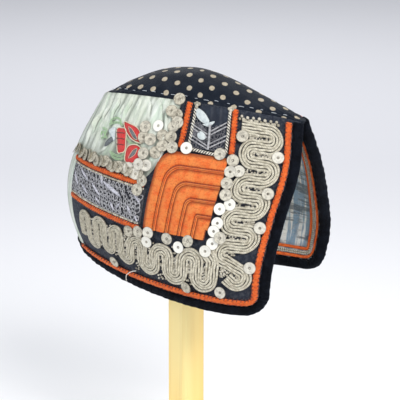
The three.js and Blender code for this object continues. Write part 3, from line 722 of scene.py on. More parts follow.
# The couched braid
# White two-ply cord, five runs side by side, taken to and fro and held down with fine thread. The
# slit inside each turn is filled with small knots of white and navy thread.
CORD_RUNS = 5
CORD_PITCH, CORD_RADIUS = 0.17, 0.079  # as shares of the room between one run of the bundle and the next
BRAID_LIFT = 0.1
# The last braid colour is painted shade, for the grooves of the twist and the sides of each cord.
BRAID, BRAID_WORN, BRAID_PAINTED_SHADE = (0.86, 0.81, 0.66), (0.48, 0.43, 0.31), (0.10, 0.085, 0.06)
FRONT_BRAID = {"start": 46.0, "inner": 36.0, "outer": 25.5, "top": 132.0, "pitch": 11.8, "turns": 8}
LAST_LOOP = {"x": 25.5, "y": 32.5, "radius": 6.2, "from": 115, "to": 305, "end": (33.5, 31.2)}
HEM_START, HEM_FINISH = [(54.0, 50.5), (49.5, 46.5), (45.6, 42.0)], 31.0
HEM_TURNS = [(51.5, 27.5), (64.0, 38.0), (76.5, 28.0), (89.0, 37.0), (100.5, 29.0), (112.0, 39.5),
             (124.0, 30.0), (132.5, 44.5), (141.5, 32.0), (150.0, 47.0), (159.5, 30.5), (168.0, 47.5)]


def front_braid_path():
    """Places x, y and the room for the bundle there."""
    top, pitch, inner, outer = (FRONT_BRAID[key] for key in ("top", "pitch", "inner", "outer"))
    radius, last = pitch / 2, LAST_LOOP
    runs = [line_places((FRONT_BRAID["start"], top + radius), (outer, top + radius), 1.0)]
    for turn in range(FRONT_BRAID["turns"]):
        y = top - turn * pitch
        x, end, other = (outer, 270, inner) if turn % 2 == 0 else (inner, -90, outer)
        runs.append(arc_places((x, y), radius, 90, end, 0.8)[1:])
        if turn < FRONT_BRAID["turns"] - 1:
            runs.append(line_places((x, y - radius), (other, y - radius), 1.0)[1:])
    loop = arc_places((last["x"], last["y"]), last["radius"], last["from"], last["to"], 0.8)
    runs += [line_places(runs[-1][-1], loop[0], 1.0)[1:], loop[1:],
             line_places(loop[-1], last["end"], 1.0)[1:]]
    path = np.concatenate(runs)
    return path, np.full(len(path), pitch)


def curve_through(points, steps=10, closed=False):
    """A smooth flat line through a few places."""
    p = np.array(points, float)
    first, final = (p[-1:], p[:2]) if closed else (2 * p[:1] - p[1:2], 2 * p[-1:] - p[-2:-1])
    p = np.concatenate([first, p, final])
    t = np.linspace(0, 1, steps, endpoint=False)[:, None]
    runs = []
    for a, b, c, d in zip(p, p[1:], p[2:], p[3:]):
        runs.append(b + t / 2 * (c - a + t * (2 * a - 5 * b + 4 * c - d + t * (3 * (b - c) + d - a))))
    return np.concatenate(runs if closed else [*runs, p[-2:-1]])


def hem_braid_legs():
    turns = np.array(HEM_TURNS)[:, 0]
    legs = (turns[1:] + turns[:-1]) / 2
    return np.concatenate([[2 * turns[0] - legs[0]], legs, [2 * turns[-1] - legs[-1]]])


def hem_braid_path():
    legs = hem_braid_legs()
    goals = [y for _, y in HEM_TURNS[1:]] + [HEM_FINISH]
    start = curve_through([*HEM_START, (legs[0], 37.0), (legs[0], HEM_TURNS[0][1])], 6)
    runs, rooms, walk = [start], [legs[1] - legs[0]], [0]
    for turn, (_, y) in enumerate(HEM_TURNS):
        left, right = legs[turn], legs[turn + 1]
        walk.append(sum(len(run) for run in runs))
        bow = arc_places(((left + right) / 2, y), (right - left) / 2, 180, 360 if turn % 2 == 0 else 0, 0.8)
        runs.append(bow[1:])
        rooms.append(right - left)
        runs.append(line_places((right, y), (right, goals[turn]), 1.0)[1:])
    path = np.concatenate(runs)
    return path, np.interp(np.arange(len(path)), walk, rooms)


def two_ply():
    """The slanting lay of a twisted cord, from flat places (along, round, seed)."""
    tree, given, out = group("two-ply twist", {"Flat": ("Vector", (0, 0, 0)), "Pitch": ("Float", 2.2)},
                             {"Height": "Float", "Groove": "Float"})
    along, around, seed = add(tree, "SeparateXYZ", {0: given["Flat"]}).outputs
    lay_of_cord = maths(tree, "ADD", maths(tree, "DIVIDE", along, given["Pitch"]), around)
    wave = maths(tree, "ABSOLUTE", maths(tree, "SINE", maths(tree, "MULTIPLY", lay_of_cord, 2 * math.pi)))
    tree.links.new(wave, out.inputs["Height"])
    tree.links.new(ramp(tree, wave, 0.45, 0.0), out.inputs["Groove"])
    return tree


TWIST = two_ply()


def twisted(tree, pitch, output="Height"):
    return placed(tree, TWIST, {"Flat": flat_place(tree), "Pitch": pitch}, output)


def ply(pitch):
    return lambda tree: twisted(tree, pitch)


def braid_colour(tree):
    """Yellowed white, with painted shade in the lay of the cord and down both of its sides."""
    # Painted shade: dark in the grooves of the twist and on each cord's sides, away from its top.
    from_top = maths(tree, "ABSOLUTE", maths(tree, "SUBTRACT", flat_number(tree, 1), 0.25))
    painted_shade = highest(tree, scaled(tree, twisted(tree, 2.3, "Groove"), 0.8),
                    scaled(tree, ramp(tree, from_top, 0.14, 0.27), 0.66))
    return mixed(tree, painted_shade, faded(tree, BRAID, BRAID_WORN, 0.35, 0.8), BRAID_PAINTED_SHADE)


white_braid = finish("white braid", braid_colour, 0.7, [(ply(2.3), 0.45)],
                     sheen=0.1, gloss=0.3)


def offset(places, reach):
    way = unit(np.gradient(places, axis=0))
    return places + np.stack([way[:, 1], -way[:, 0]], 1) * reach


def round_section(radius, low, sides=8, squash=1.0):
    turns = np.arange(sides) * 2 * np.pi / sides
    return np.stack([radius * np.cos(turns), low + radius * squash * (1 + np.sin(turns))], -1)


def bundle(side, places, room):
    """Cords side by side along one path, closer where the room is narrow, each straying a little."""
    way = unit(np.gradient(places, axis=0))
    aside = np.stack([way[:, 1], -way[:, 0]], 1)
    walk = np.cumsum(np.linalg.norm(np.diff(places, axis=0, prepend=places[:1]), axis=1))
    pitch = CORD_PITCH - 0.034 * np.clip((12 - room) / 5, 0, 1)
    half = (CORD_RADIUS / CORD_PITCH * pitch * room)[:, None, None] * [1, 0]
    half = half + [0, FRONT_BRAID["pitch"] * CORD_RADIUS]
    runs = []
    for run in range(CORD_RUNS):
        stray = 0.016 * np.sin(walk * 0.31 + run * 2.0) + 0.009 * np.sin(walk * 0.83 + run * 5.0)
        reach = ((run - (CORD_RUNS - 1) / 2) * pitch + stray) * room
        raised = 0.12 * np.sin(walk * 0.23 + run * 1.7 + side)[:, None, None] * [0, 1]
        section = round_section(1.0, 0.0) * half + raised + [0, TRIM + BRAID_LIFT]
        runs.append(strip(side, places + aside * reach[:, None], section, seed=run * 7.3 + side))
    return runs


for label, side in SIDES.items():
    for name, path in (("front", front_braid_path()), ("hem", hem_braid_path())):
        new_piece(f"braid_{name}_cords_{label}", bundle(side, *path), white_braid,
                  [f"braid_{name}_{label}"])

# The pleated square
# One square of orange cotton folded again and again about its lower front corner, each fold tacked
# down with backstitch in a darker thread a little way in from its edge.
SQUARE = {"front": 54.0, "back": 107.0, "hem": 56.5, "top": 115.0, "corner": 14.0, "tighten": 0.3,
          "folds": 5, "rise": 2.4, "wall": 0.9, "tack": 0.84}
FOLD_DEPTH = (SQUARE["back"] - SQUARE["front"]) / SQUARE["folds"]
FOLD_STEPS = (0.06, 0.15, 0.28, 0.42, 0.55, 0.67, 0.75, 0.79,
              0.82, 0.84, 0.86, 0.89, 0.92, 0.955, 0.975, 0.995)
# The edge colour is a painted highlight and the crease colour is painted shade.
FOLDED, FOLDED_DEEP, FOLDED_EDGE_HIGHLIGHT = (1.0, 0.30, 0.068), (0.96, 0.15, 0.024), (1.0, 0.36, 0.11)
FOLDED_SLUB, FOLDED_FLECK, FOLDED_CREASE_SHADE = (0.98, 0.34, 0.09), (0.52, 0.045, 0.008), (0.16, 0.012, 0.004)


def fold_line(distance, points=90):
    """One L-shaped line of the square, from the hem end up, round the corner and to the front end."""
    back, top = SQUARE["back"] - distance, SQUARE["top"] - distance
    room = min(max(SQUARE["corner"] - distance * SQUARE["tighten"], 0.3),
               back - SQUARE["front"] - 0.3, top - SQUARE["hem"] - 0.3)
    line = np.concatenate([line_places((back, SQUARE["hem"]), (back, top - room), 0.7)[:-1],
                           arc_places((back - room, top - room), room, 0, 90, 0.5)[:-1],
                           line_places((back - room, top), (SQUARE["front"], top), 0.7)])
    walk = walked(line)
    return between(np.linspace(0, walk[-1], points), walk, line)


def fold_rise(share):
    """The height across one fold: it swells, dips at the row of stitches and ends in a raised edge."""
    swell = 0.8 * np.sin(np.pi * np.clip(share / 0.82, 0, 1)) ** 0.7
    tack = -0.75 * np.exp(-((share - SQUARE["tack"]) / 0.05) ** 2)
    lip = 0.6 * np.exp(-((share - 0.94) / 0.05) ** 2)
    return share * SQUARE["rise"] * 0.6 + swell + tack + lip


def folded_colour(tree):
    """Orange cotton, a painted highlight on each folded edge, painted shade in the crease and along the
    stitches.
    """
    share = flat_number(tree, 2)

    def near(place, reach):
        return ramp(tree, maths(tree, "ABSOLUTE", maths(tree, "SUBTRACT", share, place)), reach, 0.0)

    # Painted shade: under the edge of the fold above, in the crease and along the dip of the stitches.
    crease = highest(tree, scaled(tree, near(0.0, 0.32), 0.85), scaled(tree, near(1.0, 0.05), 0.9))
    dark = highest(tree, crease, scaled(tree, near(0.87, 0.1), 0.75))
    fleck = ramp(tree, noise(tree, flat_place(tree), 1.0, 3.0, 0.75), 0.5, 0.64)
    cotton = mixed(tree, scaled(tree, fleck, 0.42), faded(tree, FOLDED, FOLDED_DEEP, 0.16, 0.9), FOLDED_FLECK)
    # A painted highlight along the raised lip of each fold.
    edge_highlighted = mixed(tree, scaled(tree, near(0.94, 0.04), 0.3), cotton, FOLDED_EDGE_HIGHLIGHT)
    return mixed(tree, dark, mixed(tree, slubs(tree, 2.0, 0.35), edge_highlighted, FOLDED_SLUB), FOLDED_CREASE_SHADE)


folded_cotton = finish("folded orange cotton", folded_colour, 0.8,
                       [(weave(2.4), 0.16), (lumps(0.35, 4.0), 1.0)],
                       sheen=0.1, gloss=0.25)
orange_thread = finish("orange thread", (0.26, 0.022, 0.005), 0.7, sheen=0.1)
BACKSTITCH = {"pitch": 2.1, "length": 1.6, "thick": 0.55, "sunk": 0.12}


def backstitch(side, middle, way, rise):
    """One short stitch that sinks in at both ends."""
    ends = [middle + way * BACKSTITCH["length"] * f for f in (-0.5, -0.3, 0.0, 0.3, 0.5)]
    ring = round_section(BACKSTITCH["thick"] / 2, 0.0, 6)
    section = np.stack([ring * f + [0, rise - sink] for f, sink in
                        ((0.35, 0.3), (0.9, 0.08), (1.0, 0.0), (0.9, 0.08), (0.35, 0.3))])
    return strip(side, ends, section)


def along_line(line, pitch, margin=1.0):
    """Places and directions at even steps along a flat line."""
    walk = walked(line)
    at = np.arange(margin, walk[-1] - margin, pitch)
    return between(at, walk, line), between(at, walk, unit(np.gradient(line, axis=0)))


levels = np.array([0.0, *((fold + f) * FOLD_DEPTH for fold in range(SQUARE["folds"]) for f in FOLD_STEPS)])
levels = levels[levels < SQUARE["folds"] * FOLD_DEPTH - 1.6]
fold_x, fold_y = np.moveaxis(np.stack([fold_line(level) for level in levels]), -1, 0)
fold_share = (levels / FOLD_DEPTH) % 1.0
crumple = 0.16 * np.sin(fold_x * 0.31 + 1) * np.sin(fold_y * 0.27) \
    + 0.09 * np.sin(fold_x * 0.9) * np.sin(fold_y * 0.8 + 2)
drop = np.clip((levels - 0.4) / 1.2, 0, 1)[:, None]
fold_top = TRIM + SQUARE["wall"] + (fold_rise(fold_share)[:, None] + crumple) * drop
stitch_rise = TRIM + SQUARE["wall"] + fold_rise(np.array([SQUARE["tack"]]))[0] - BACKSTITCH["sunk"]
for label, side in SIDES.items():
    points, faces, flat = cloth(side, fold_x, fold_y, TRIM, fold_top)
    # The third flat number is the share across each fold, which places the painted shade and highlight.
    flat[..., 2] = np.maximum(fold_share, 0.1 * (levels < FOLD_DEPTH))[:, None]
    square = new_piece(f"folded_square_{label}", [(points, faces, flat)], folded_cotton,
                       [f"pleated_square_{label}"], sharp=60)
    stitches = []
    for fold in range(SQUARE["folds"]):
        line = fold_line((fold + SQUARE["tack"]) * FOLD_DEPTH)
        spots = zip(*along_line(line, BACKSTITCH["pitch"]))
        stitches += [backstitch(side, *spot, stitch_rise) for spot in spots]
    new_piece(f"square_backstitch_{label}", stitches, orange_thread)

# The silver work
# Two fields covered with silver-wrapped thread. The panel by the crown is navy satin with a stem,
# paired chevrons and small leaves; the band at the side is packed with curls and edged with beads.
PANEL = {"front": 55.5, "back": 82.5, "lean": 2.5, "hem": 118.5, "top": 148.5, "high": 0.9}
BAND = {"front": 110.0, "back": 188.0, "high": 1.0, "margin": 3.2}
SILVER, SILVER_WORN, SILVER_GROOVE = (0.66, 0.66, 0.68), (0.24, 0.24, 0.26), (0.09, 0.09, 0.10)
SPECKLE_PALE, SPECKLE_WORN, SPECKLE_DARK = (0.88, 0.84, 0.72), (0.50, 0.46, 0.38), (0.045, 0.05, 0.05)
KNOT_DULL, KNOT_PALE = (0.30, 0.27, 0.20), (0.66, 0.62, 0.52)


def cord_height(name, x):
    (x0, y0), (x1, y1) = CORDS[name]
    return y0 + (y1 - y0) * (x - x0) / (x1 - x0)


def silver_colour(tree):
    base = faded(tree, SILVER, SILVER_WORN, 0.45, 0.9)
    return mixed(tree, twisted(tree, 1.6, "Groove"), base, SILVER_GROOVE)


def speckled_colour(tree):
    """A twist of black and white thread, whose turns come out uneven."""
    uneven = maths(tree, "MULTIPLY_ADD", noise(tree, flat_place(tree), 1.3, 2.0), 1.1, twisted(tree, 3.9))
    pale = faded(tree, SPECKLE_PALE, SPECKLE_WORN, 0.8, 0.9)
    return mixed(tree, ramp(tree, uneven, 1.28, 1.12), pale, SPECKLE_DARK)


SATIN_STITCH = [(lumps(stretch=(1.0, 7.0, 0)), 0.25)]
silver_thread = finish("silver thread", silver_colour, 0.45, [(ply(1.6), 0.25)],
                       gloss=0.6, Metallic=0.3)
silver_leaf = finish("silver leaf", patchy((0.66, 0.66, 0.72), (0.22, 0.22, 0.26), 0.9, 0.9), 0.45,
                     SATIN_STITCH, Metallic=0.2)
worn_silver = finish("worn silver thread", patchy((0.22, 0.22, 0.24), (0.06, 0.06, 0.08), 0.5, 0.9), 0.5,
                     [(ply(1.4), 0.2)], Metallic=0.3)
grey_ground = finish("grey ground", patchy((0.07, 0.07, 0.08), (0.02, 0.022, 0.03), 0.6, 0.9), 0.75,
                     [(lumps(1.6, 4.0), 0.5)])
navy_satin = finish("navy satin", patchy((0.009, 0.014, 0.027), (0.026, 0.036, 0.056), 0.16, 0.9), 0.5,
                    [(lumps(stretch=(0.25, 0.08, 0)), 0.4)], gloss=0.3)
pale_leaf = finish("pale leaf silk", patchy((0.66, 0.72, 0.72), (0.42, 0.48, 0.50), 0.5, 0.7), 0.5,
                   SATIN_STITCH)
speckled_twist = finish("speckled twist", speckled_colour, 0.6, [(ply(3.9), 0.5)])


def cord_on(side, line, radius, low, seed=0.0, sides=6, squash=1.0):
    return strip(side, line, round_section(radius, low, sides, squash), seed=seed)


def padded_leaf(side, outline, low, high):
    """A padded field of satin stitch inside a closed flat outline."""
    rim = curve_through(outline, 8, closed=True)
    middle = rim.mean(axis=0)
    shares = np.array([1.0, 1.0, 0.92, 0.78, 0.6, 0.4, 0.2])
    domed = low + (high - low) * (1 - shares[2:] ** 2.5) ** 0.6
    rises = np.array([low, high * 0.45 + low * 0.55, *domed])
    spots = middle + (rim - middle)[None] * shares[:, None, None]
    x, y, lifts = spots[..., 0], spots[..., 1], np.broadcast_to(rises[:, None], spots.shape[:2])
    faces = tube_faces(*x.shape)
    clockwise = np.cross(rim - middle, np.roll(rim, -1, axis=0) - middle).sum() < 0
    if (side > 0) == clockwise:
        faces = flipped(faces)
    return lay(side, x, y, lifts), faces, np.stack([x, y, lifts], -1)


def bead_shape(rings=4, sides=8):
    """A small round bead: points on a unit ball and its faces."""
    turn = np.arange(sides) * 2 * np.pi / sides
    tilt = np.linspace(-np.pi / 2, np.pi / 2, rings + 1)[1:-1]
    body = np.stack([np.outer(np.cos(tilt), np.cos(turn)), np.outer(np.cos(tilt), np.sin(turn)),
                     np.outer(np.sin(tilt), np.ones(sides))], -1).reshape(-1, 3)
    faces = grid_faces(rings - 1, sides, around=True)
    first, last = np.arange(sides), np.arange(sides) + (rings - 2) * sides
    ends = [np.stack([np.roll(first, -1), first, np.full(sides, len(body))], 1),
            np.stack([last, np.roll(last, -1), np.full(sides, len(body) + 1)], 1)]
    return np.concatenate([body, [[0, 0, -1], [0, 0, 1]]]), [faces, *ends]


BEAD, BEAD_FACES = bead_shape()


def beads(side, places, radius, rise, flatten=0.8, seed=0):
    """Beads or knots sewn at flat places; each has its own shade."""
    shade = np.random.default_rng(seed)
    parts = []
    for x, y in places:
        size = radius * shade.uniform(0.88, 1.12)
        near_x, near_y = x + BEAD[:, 0] * size, y + BEAD[:, 1] * size
        place = lay(side, near_x, near_y, rise + size * flatten * (1 + BEAD[:, 2]))
        faces = BEAD_FACES if side > 0 else flipped(BEAD_FACES)
        parts.append((place, faces, np.broadcast_to([x, y, shade.uniform(0, 10)], place.shape)))
    return parts


def knot_tone(tree):
    own = maths(tree, "FRACT", scaled(tree, flat_number(tree, 2), 3.7))
    return mixed(tree, own, KNOT_DULL, KNOT_PALE)


pale_knot = finish("pale knots", knot_tone, 0.7, [(lumps(6.0, 2.0), 0.2)])
dark_knot = finish("dark knots", (0.012, 0.014, 0.022), 0.75, [(lumps(6.0, 2.0), 0.2)])


def curled(side, ends, low_line, high_line, rows, size, thick, seed):
    """Rows of one thread laid in small rings, packed between two flat lines."""
    curls, rng = [], np.random.default_rng(seed)
    start, end = ends
    count = round((end - start) / (1.9 * size))
    turns = np.arange(0, count, 1 / 14)
    middle = start + size + turns / count * (end - start - 2 * size)
    low, high = low_line(middle) + size, high_line(middle) - size
    for row in range(rows):
        phase, drift = rng.uniform(0, 6.28), rng.uniform(-0.4, 0.4)
        around = 2 * np.pi * turns + phase
        ring = size * (1 + 0.22 * np.sin(turns * 0.9 + phase))
        x = middle + ring * np.cos(around)
        y = low + (high - low) * row / (rows - 1) + ring * np.sin(around) + drift * np.sin(turns * 0.35)
        lift = 1.0 + 0.3 * (row % 2) + 0.25 * np.sin(around)[:, None]
        section = round_section(thick, 0.0, 5)[None] + np.stack([0 * lift, lift], -1)
        curls.append(strip(side, np.stack([x, y], 1), section, seed=row))
    return curls


STEM = 69.5
CHEVRONS = [((71, 129.2), (84, 135)), ((71, 127), (84, 132.4)), ((70.5, 121.4), (84, 127.6)),
            ((70.5, 119.6), (84, 124.8)), ((68.5, 131.6), (57, 139)), ((68.5, 129.2), (57, 136.4)),
            ((68.5, 123.2), (57, 130)), ((68.5, 120.6), (57, 127.2))]
PALE_LEAVES = [[(82, 144.6), (79, 145.6), (74.4, 143.4), (70.6, 139), (71.2, 137), (75.4, 136.6),
                (79.8, 139.8)],
               [(75.2, 135.4), (71, 137), (66.4, 138.6), (67.6, 136.4), (71, 134.4)],
               [(78.6, 128.6), (76.2, 130.6), (72.8, 129), (72.2, 126.6), (74.4, 125), (77.8, 126)]]
GREY_LEAVES = [[(79.5, 135.6), (76, 135.2), (72.4, 131.6), (75.6, 130.8)],
               [(82.4, 131), (79.6, 131.6), (79, 128), (81.4, 126.6)]]
STAR = [(0, 0), (1.5, 0.9), (-1.4, 1.0), (0.2, 1.9), (0.3, -1.6)]
BAND_STROKES = [((149, 84), (130, 76), 3.0), ((121, 83), (112, 74), 2.0), ((123, 70.5), (119, 65), 2.0),
                ((133, 66), (130, 71), 1.6), ((152, 88), (149, 81), 1.8), ((176, 88), (165, 81), 1.8),
                ((143, 83), (138, 78), 2.0), ((160, 80), (150, 72), 1.9), ((172, 76), (163, 70), 1.7),
                ((139, 70), (135, 64), 1.8), ((184, 84), (177, 74), 1.8), ((115, 64), (112, 60), 1.6),
                ((155, 70), (149, 66), 1.5)]
BAND_GAPS = [((128, 84), (121, 75), 1.5), ((132.5, 80.5), (127, 73), 1.1), ((127, 66), (125.5, 63), 1.3)]


def stroke(side, start, end, wide, low, high):
    """A pointed leaf of satin stitch from one flat place to another."""
    start, end = np.array(start, float), np.array(end, float)
    along = unit(end - start)
    across = np.array([-along[1], along[0]]) * wide / 2
    shares, swells = (0.0, 0.2, 0.5, 0.8, 1.0), (0.12, 0.75, 1.0, 0.75, 0.12)
    edge, other = ([start + (end - start) * f + across * g * way for f, g in zip(shares, swells)]
                   for way in (1, -1))
    return padded_leaf(side, edge + other[::-1], low, high)


def band_line(name, away):
    """A line inside the band, some way from one of the cords that bound it."""
    return lambda x: cord_height(name, x) + away


def above_foot(gap, slope=0.0):
    """A line over the panel's foot that rises to both sides of the stem."""
    return lambda x: PANEL["hem"] + gap + slope * np.abs(x - STEM)


for label, side in SIDES.items():
    foot, share_up = PANEL["hem"], np.linspace(0, 1, 31)[:, None]
    back = PANEL["back"] + PANEL["lean"] * (1 - share_up)
    x = PANEL["front"] + (back - PANEL["front"]) * np.linspace(0, 1, 31)[None, :]
    y = foot + (PANEL["top"] - foot) * share_up + 0 * x
    soft = 0.35 * np.sin(x * 0.9 + 1) * np.clip((y - 134) / 8, 0, 1)
    ground = new_piece(f"panel_satin_{label}", [cloth(side, x, y, TRIM, PANEL["high"] + np.maximum(soft, 0))],
                       navy_satin, [f"silver_panel_{label}"], sharp=50)
    fill = curled(side, (56.6, 83.6), above_foot(0.6), above_foot(14.5, 0.45),
                  rows=6, size=1.5, thick=0.3, seed=4)
    new_piece(f"panel_fill_{label}", fill, worn_silver)
    chevrons = [cord_on(side, line_places(*ends, 0.6), 0.5, 1.5, seed=k) for k, ends in enumerate(CHEVRONS)]
    stem = line_places((STEM, foot + 0.5), (STEM, foot + 17.5), 0.6)
    chevrons.append(cord_on(side, stem, 0.95, 1.4, seed=9))
    new_piece(f"panel_chevrons_{label}", chevrons, silver_thread)
    edges = [line_places((56.2, foot - 0.6), (55.3, 149), 0.7),
             line_places((84.6, foot + 0.6), (80.6, 149), 0.7),
             curve_through([(85, foot - 0.3), (75, foot - 1.2), (64, foot - 2.0), (56.4, foot - 1.2)], 20)]
    edging = [cord_on(side, line, 1.15, 0.75, seed=k, sides=8, squash=0.8) for k, line in enumerate(edges)]
    new_piece(f"panel_edging_{label}", edging, speckled_twist)
    new_piece(f"panel_leaves_{label}", [padded_leaf(side, outline, 1.5, 2.9) for outline in PALE_LEAVES],
              pale_leaf)
    new_piece(f"panel_grey_leaves_{label}", [padded_leaf(side, outline, 1.3, 2.5) for outline in GREY_LEAVES],
              worn_silver)

    x = BAND["front"] + (BAND["back"] - BAND["front"]) * np.linspace(0, 1, 73)[None, :] + 0 * share_up
    bottom = cord_height("side_lower", x) + BAND["margin"]
    top_line = cord_height("side_upper", x) - BAND["margin"]
    y = bottom + (top_line - bottom) * share_up
    ground = new_piece(f"band_ground_{label}", [cloth(side, x, y, TRIM, BAND["high"])],
                       grey_ground, [f"silver_band_{label}"], sharp=50)
    curls = curled(side, (BAND["front"] + 0.6, BAND["back"] - 0.6), band_line("side_lower", 4.4),
                   band_line("side_upper", -4.4), rows=7, size=2.2, thick=0.46, seed=11)
    new_piece(f"band_curls_{label}", curls, silver_thread)
    new_piece(f"band_strokes_{label}", [stroke(side, *place, 1.9, 3.0) for place in BAND_STROKES],
              silver_leaf)
    new_piece(f"band_gaps_{label}", [stroke(side, *place, 1.9, 2.5) for place in BAND_GAPS],
              dark_knot)
    for edge, gap in (("upper", -3.4), ("lower", 3.4)):
        ends = [(x, cord_height(f"side_{edge}", x) + gap) for x in (112.0, 187.0)]
        middles, _ = along_line(line_places(*ends), 1.75, margin=0.5)
        new_piece(f"band_beads_{edge}_{label}", beads(side, middles, 0.95, 0.6, seed=3),
                  pale_knot)
    star_places = [(x + dx, 147.6 + dy) for x in (54.8, 80.2) for dx, dy in STAR]
    new_piece(f"panel_knots_{label}", beads(side, star_places, 1.15, 1.4, seed=5), pale_knot)

# The silk square and its flower
# Pale green silk gathered under the crown, embroidered with green scrolls. On it sits one flower in
# red satin stitch over padding: a ribbed pod, two petals and a few grey leaves, all outlined in cream.
SILK_FIELD = {"top_front": 92.6, "hem_front": 113.6, "bow": 0.68, "top": 149.2, "rise": 5.0, "wall": 1.1,
              "cord_at": 94.0, "least": -0.35}
red_silk = finish("red satin stitch", patchy((0.66, 0.025, 0.022), (0.42, 0.010, 0.012), 0.5, 0.7), 0.45,
                  [(lumps(detail=2.0, stretch=(1.2, 9.0, 0)), 0.3)],
                  sheen=0.2, gloss=0.6)
cream_thread = finish("cream thread", (0.72, 0.66, 0.50), 0.6, [(ply(1.2), 0.15)])
green_thread = finish("green thread", (0.42, 0.62, 0.36), 0.6, [(ply(1.0), 0.12)])
grey_thread = finish("grey thread", patchy((0.16, 0.18, 0.19), (0.08, 0.09, 0.10), 0.6, 0.7), 0.5,
                     [(lumps(detail=2.0, stretch=(1.5, 8.0, 0)), 0.25)])
POD = [(144, 123.4), (139.8, 124.8), (135.9, 124), (134.8, 116.6), (134.4, 109.6), (137, 107.6),
       (140.6, 107.6), (142.8, 115.6)]
UPPER_PETAL = [(138, 129.3), (132, 128.4), (127, 127), (123.8, 124.6), (122.4, 121), (121.4, 116.8),
               (127.6, 117.4), (132.6, 120), (136.6, 124.4)]
LOWER_PETAL = [(132, 102), (133.6, 107), (133, 111.6), (130.4, 114.2), (125, 115), (121, 113), (119.8, 109),
               (121.8, 105), (126, 101.8)]
UPPER_SLOT = [(133.4, 126), (130.4, 125.2), (126.2, 121), (125, 118.4), (128, 119.2), (131.6, 122.8)]
LOWER_SLOT = [(129, 104.8), (129.2, 106.8), (127, 110.8), (124.2, 112.6), (123.8, 111.4), (125, 107.8)]
SIDE_LEAF = [(154.4, 109.8), (153, 114), (148, 118.2), (146, 118.4), (147, 115), (152, 110.6)]
PALE_PETAL = [(146.2, 124), (150, 123.4), (152.4, 121), (150.6, 118.8), (148, 115.8), (145.6, 115.4)]
SCROLLS = [
    [(151, 127), (150, 129.4), (145, 131), (142, 130), (141, 127)],
    [(152.4, 125.4), (148, 127.4), (143, 128), (139, 126.4)],
    [(159, 115), (156, 116), (156, 119), (159, 119.4), (159.4, 117)],
    [(159, 122.4), (154.6, 121.4), (155.4, 118), (153, 115.6)],
    [(146, 106.2), (141, 105), (136, 106), (135, 109)],
    [(148, 107.4), (144, 103.4), (138, 102.8), (134, 104.4)],
    [(135, 119.4), (133, 117), (129, 115.4), (124, 116)],
    [(119.6, 101.5), (126, 99.8), (131, 99.4)],
]
CREASES = [((144, 146), (151, 128), 2.2), ((132, 148), (139, 130), 1.9), ((139, 141), (145, 131), 1.5),
           ((152, 143), (160, 127), 1.8), ((160, 137), (171, 117), 1.7), ((125, 147), (128, 135), 1.1),
           ((167, 128), (178, 106), 1.5), ((118, 148), (116, 134), 0.9), ((110, 148), (105, 134), 1.2),
           ((103, 147), (100.5, 128), 1.2), ((151, 112), (160, 101), 1.1), ((155, 134), (166, 112), 1.1)]


def crease(x, y, start, end, deep):
    """A sharp fold that fades out at both ends and stands up along one side."""
    start, end = np.array(start, float), np.array(end, float)
    long = np.linalg.norm(end - start)
    along = (end - start) / long
    from_start = (x - start[0]) * along[0] + (y - start[1]) * along[1]
    aside = (y - start[1]) * along[0] - (x - start[0]) * along[1] + 0.8 * np.sin(from_start * 0.35)
    share = np.clip(from_start / long, 0, 1)
    fading = np.sin(np.pi * share) ** 0.6
    return deep * fading * (np.exp(-((aside - 1.5) / 1.3) ** 2) - np.exp(-(aside / 0.6) ** 2))


def silk_sheet():
    """Flat places of the silk with the heights of its gathers, creases and the fold by its front edge."""
    share_up, share_back = np.linspace(0, 1, 61)[:, None], np.linspace(0, 1, 121)[None, :]
    narrower = SILK_FIELD["top_front"] - SILK_FIELD["hem_front"]
    front = SILK_FIELD["hem_front"] + narrower * share_up ** SILK_FIELD["bow"]
    guess = front + (panel_back(SILK_FIELD["cord_at"]) - front) * share_back
    foot = cord_height("side_upper", guess) + SILK_FIELD["rise"]
    y = foot + (SILK_FIELD["top"] - foot) * share_up
    back = panel_back(y) - 1
    x = front + (back - front) * share_back
    fade = np.clip(share_up * 3, 0.15, 1) * np.clip((1 - share_up) * 9 + 0.4, 0, 1)
    slanted = x * 0.85 + 0.35 * (y - 120) + 1.6 * np.sin(y * 0.12 + x * 0.06)
    gathers = eased(slanted, y, 2.0, 2.0) + sum(crease(x, y, *places) for places in CREASES)
    gathers = np.maximum(gathers * fade * (1 - (2 * share_back - 1) ** 10), SILK_FIELD["least"])
    gathers = gathers * (1 - 0.75 * np.exp(-((x - 138) / 24) ** 2 - ((y - 113) / 16) ** 2))
    fold = 0.9 * np.exp(-((x - 102.5 - (149 - y) * 0.06) / 0.9) ** 2) * fade
    return x, y, TRIM, SILK_FIELD["wall"] + gathers + fold


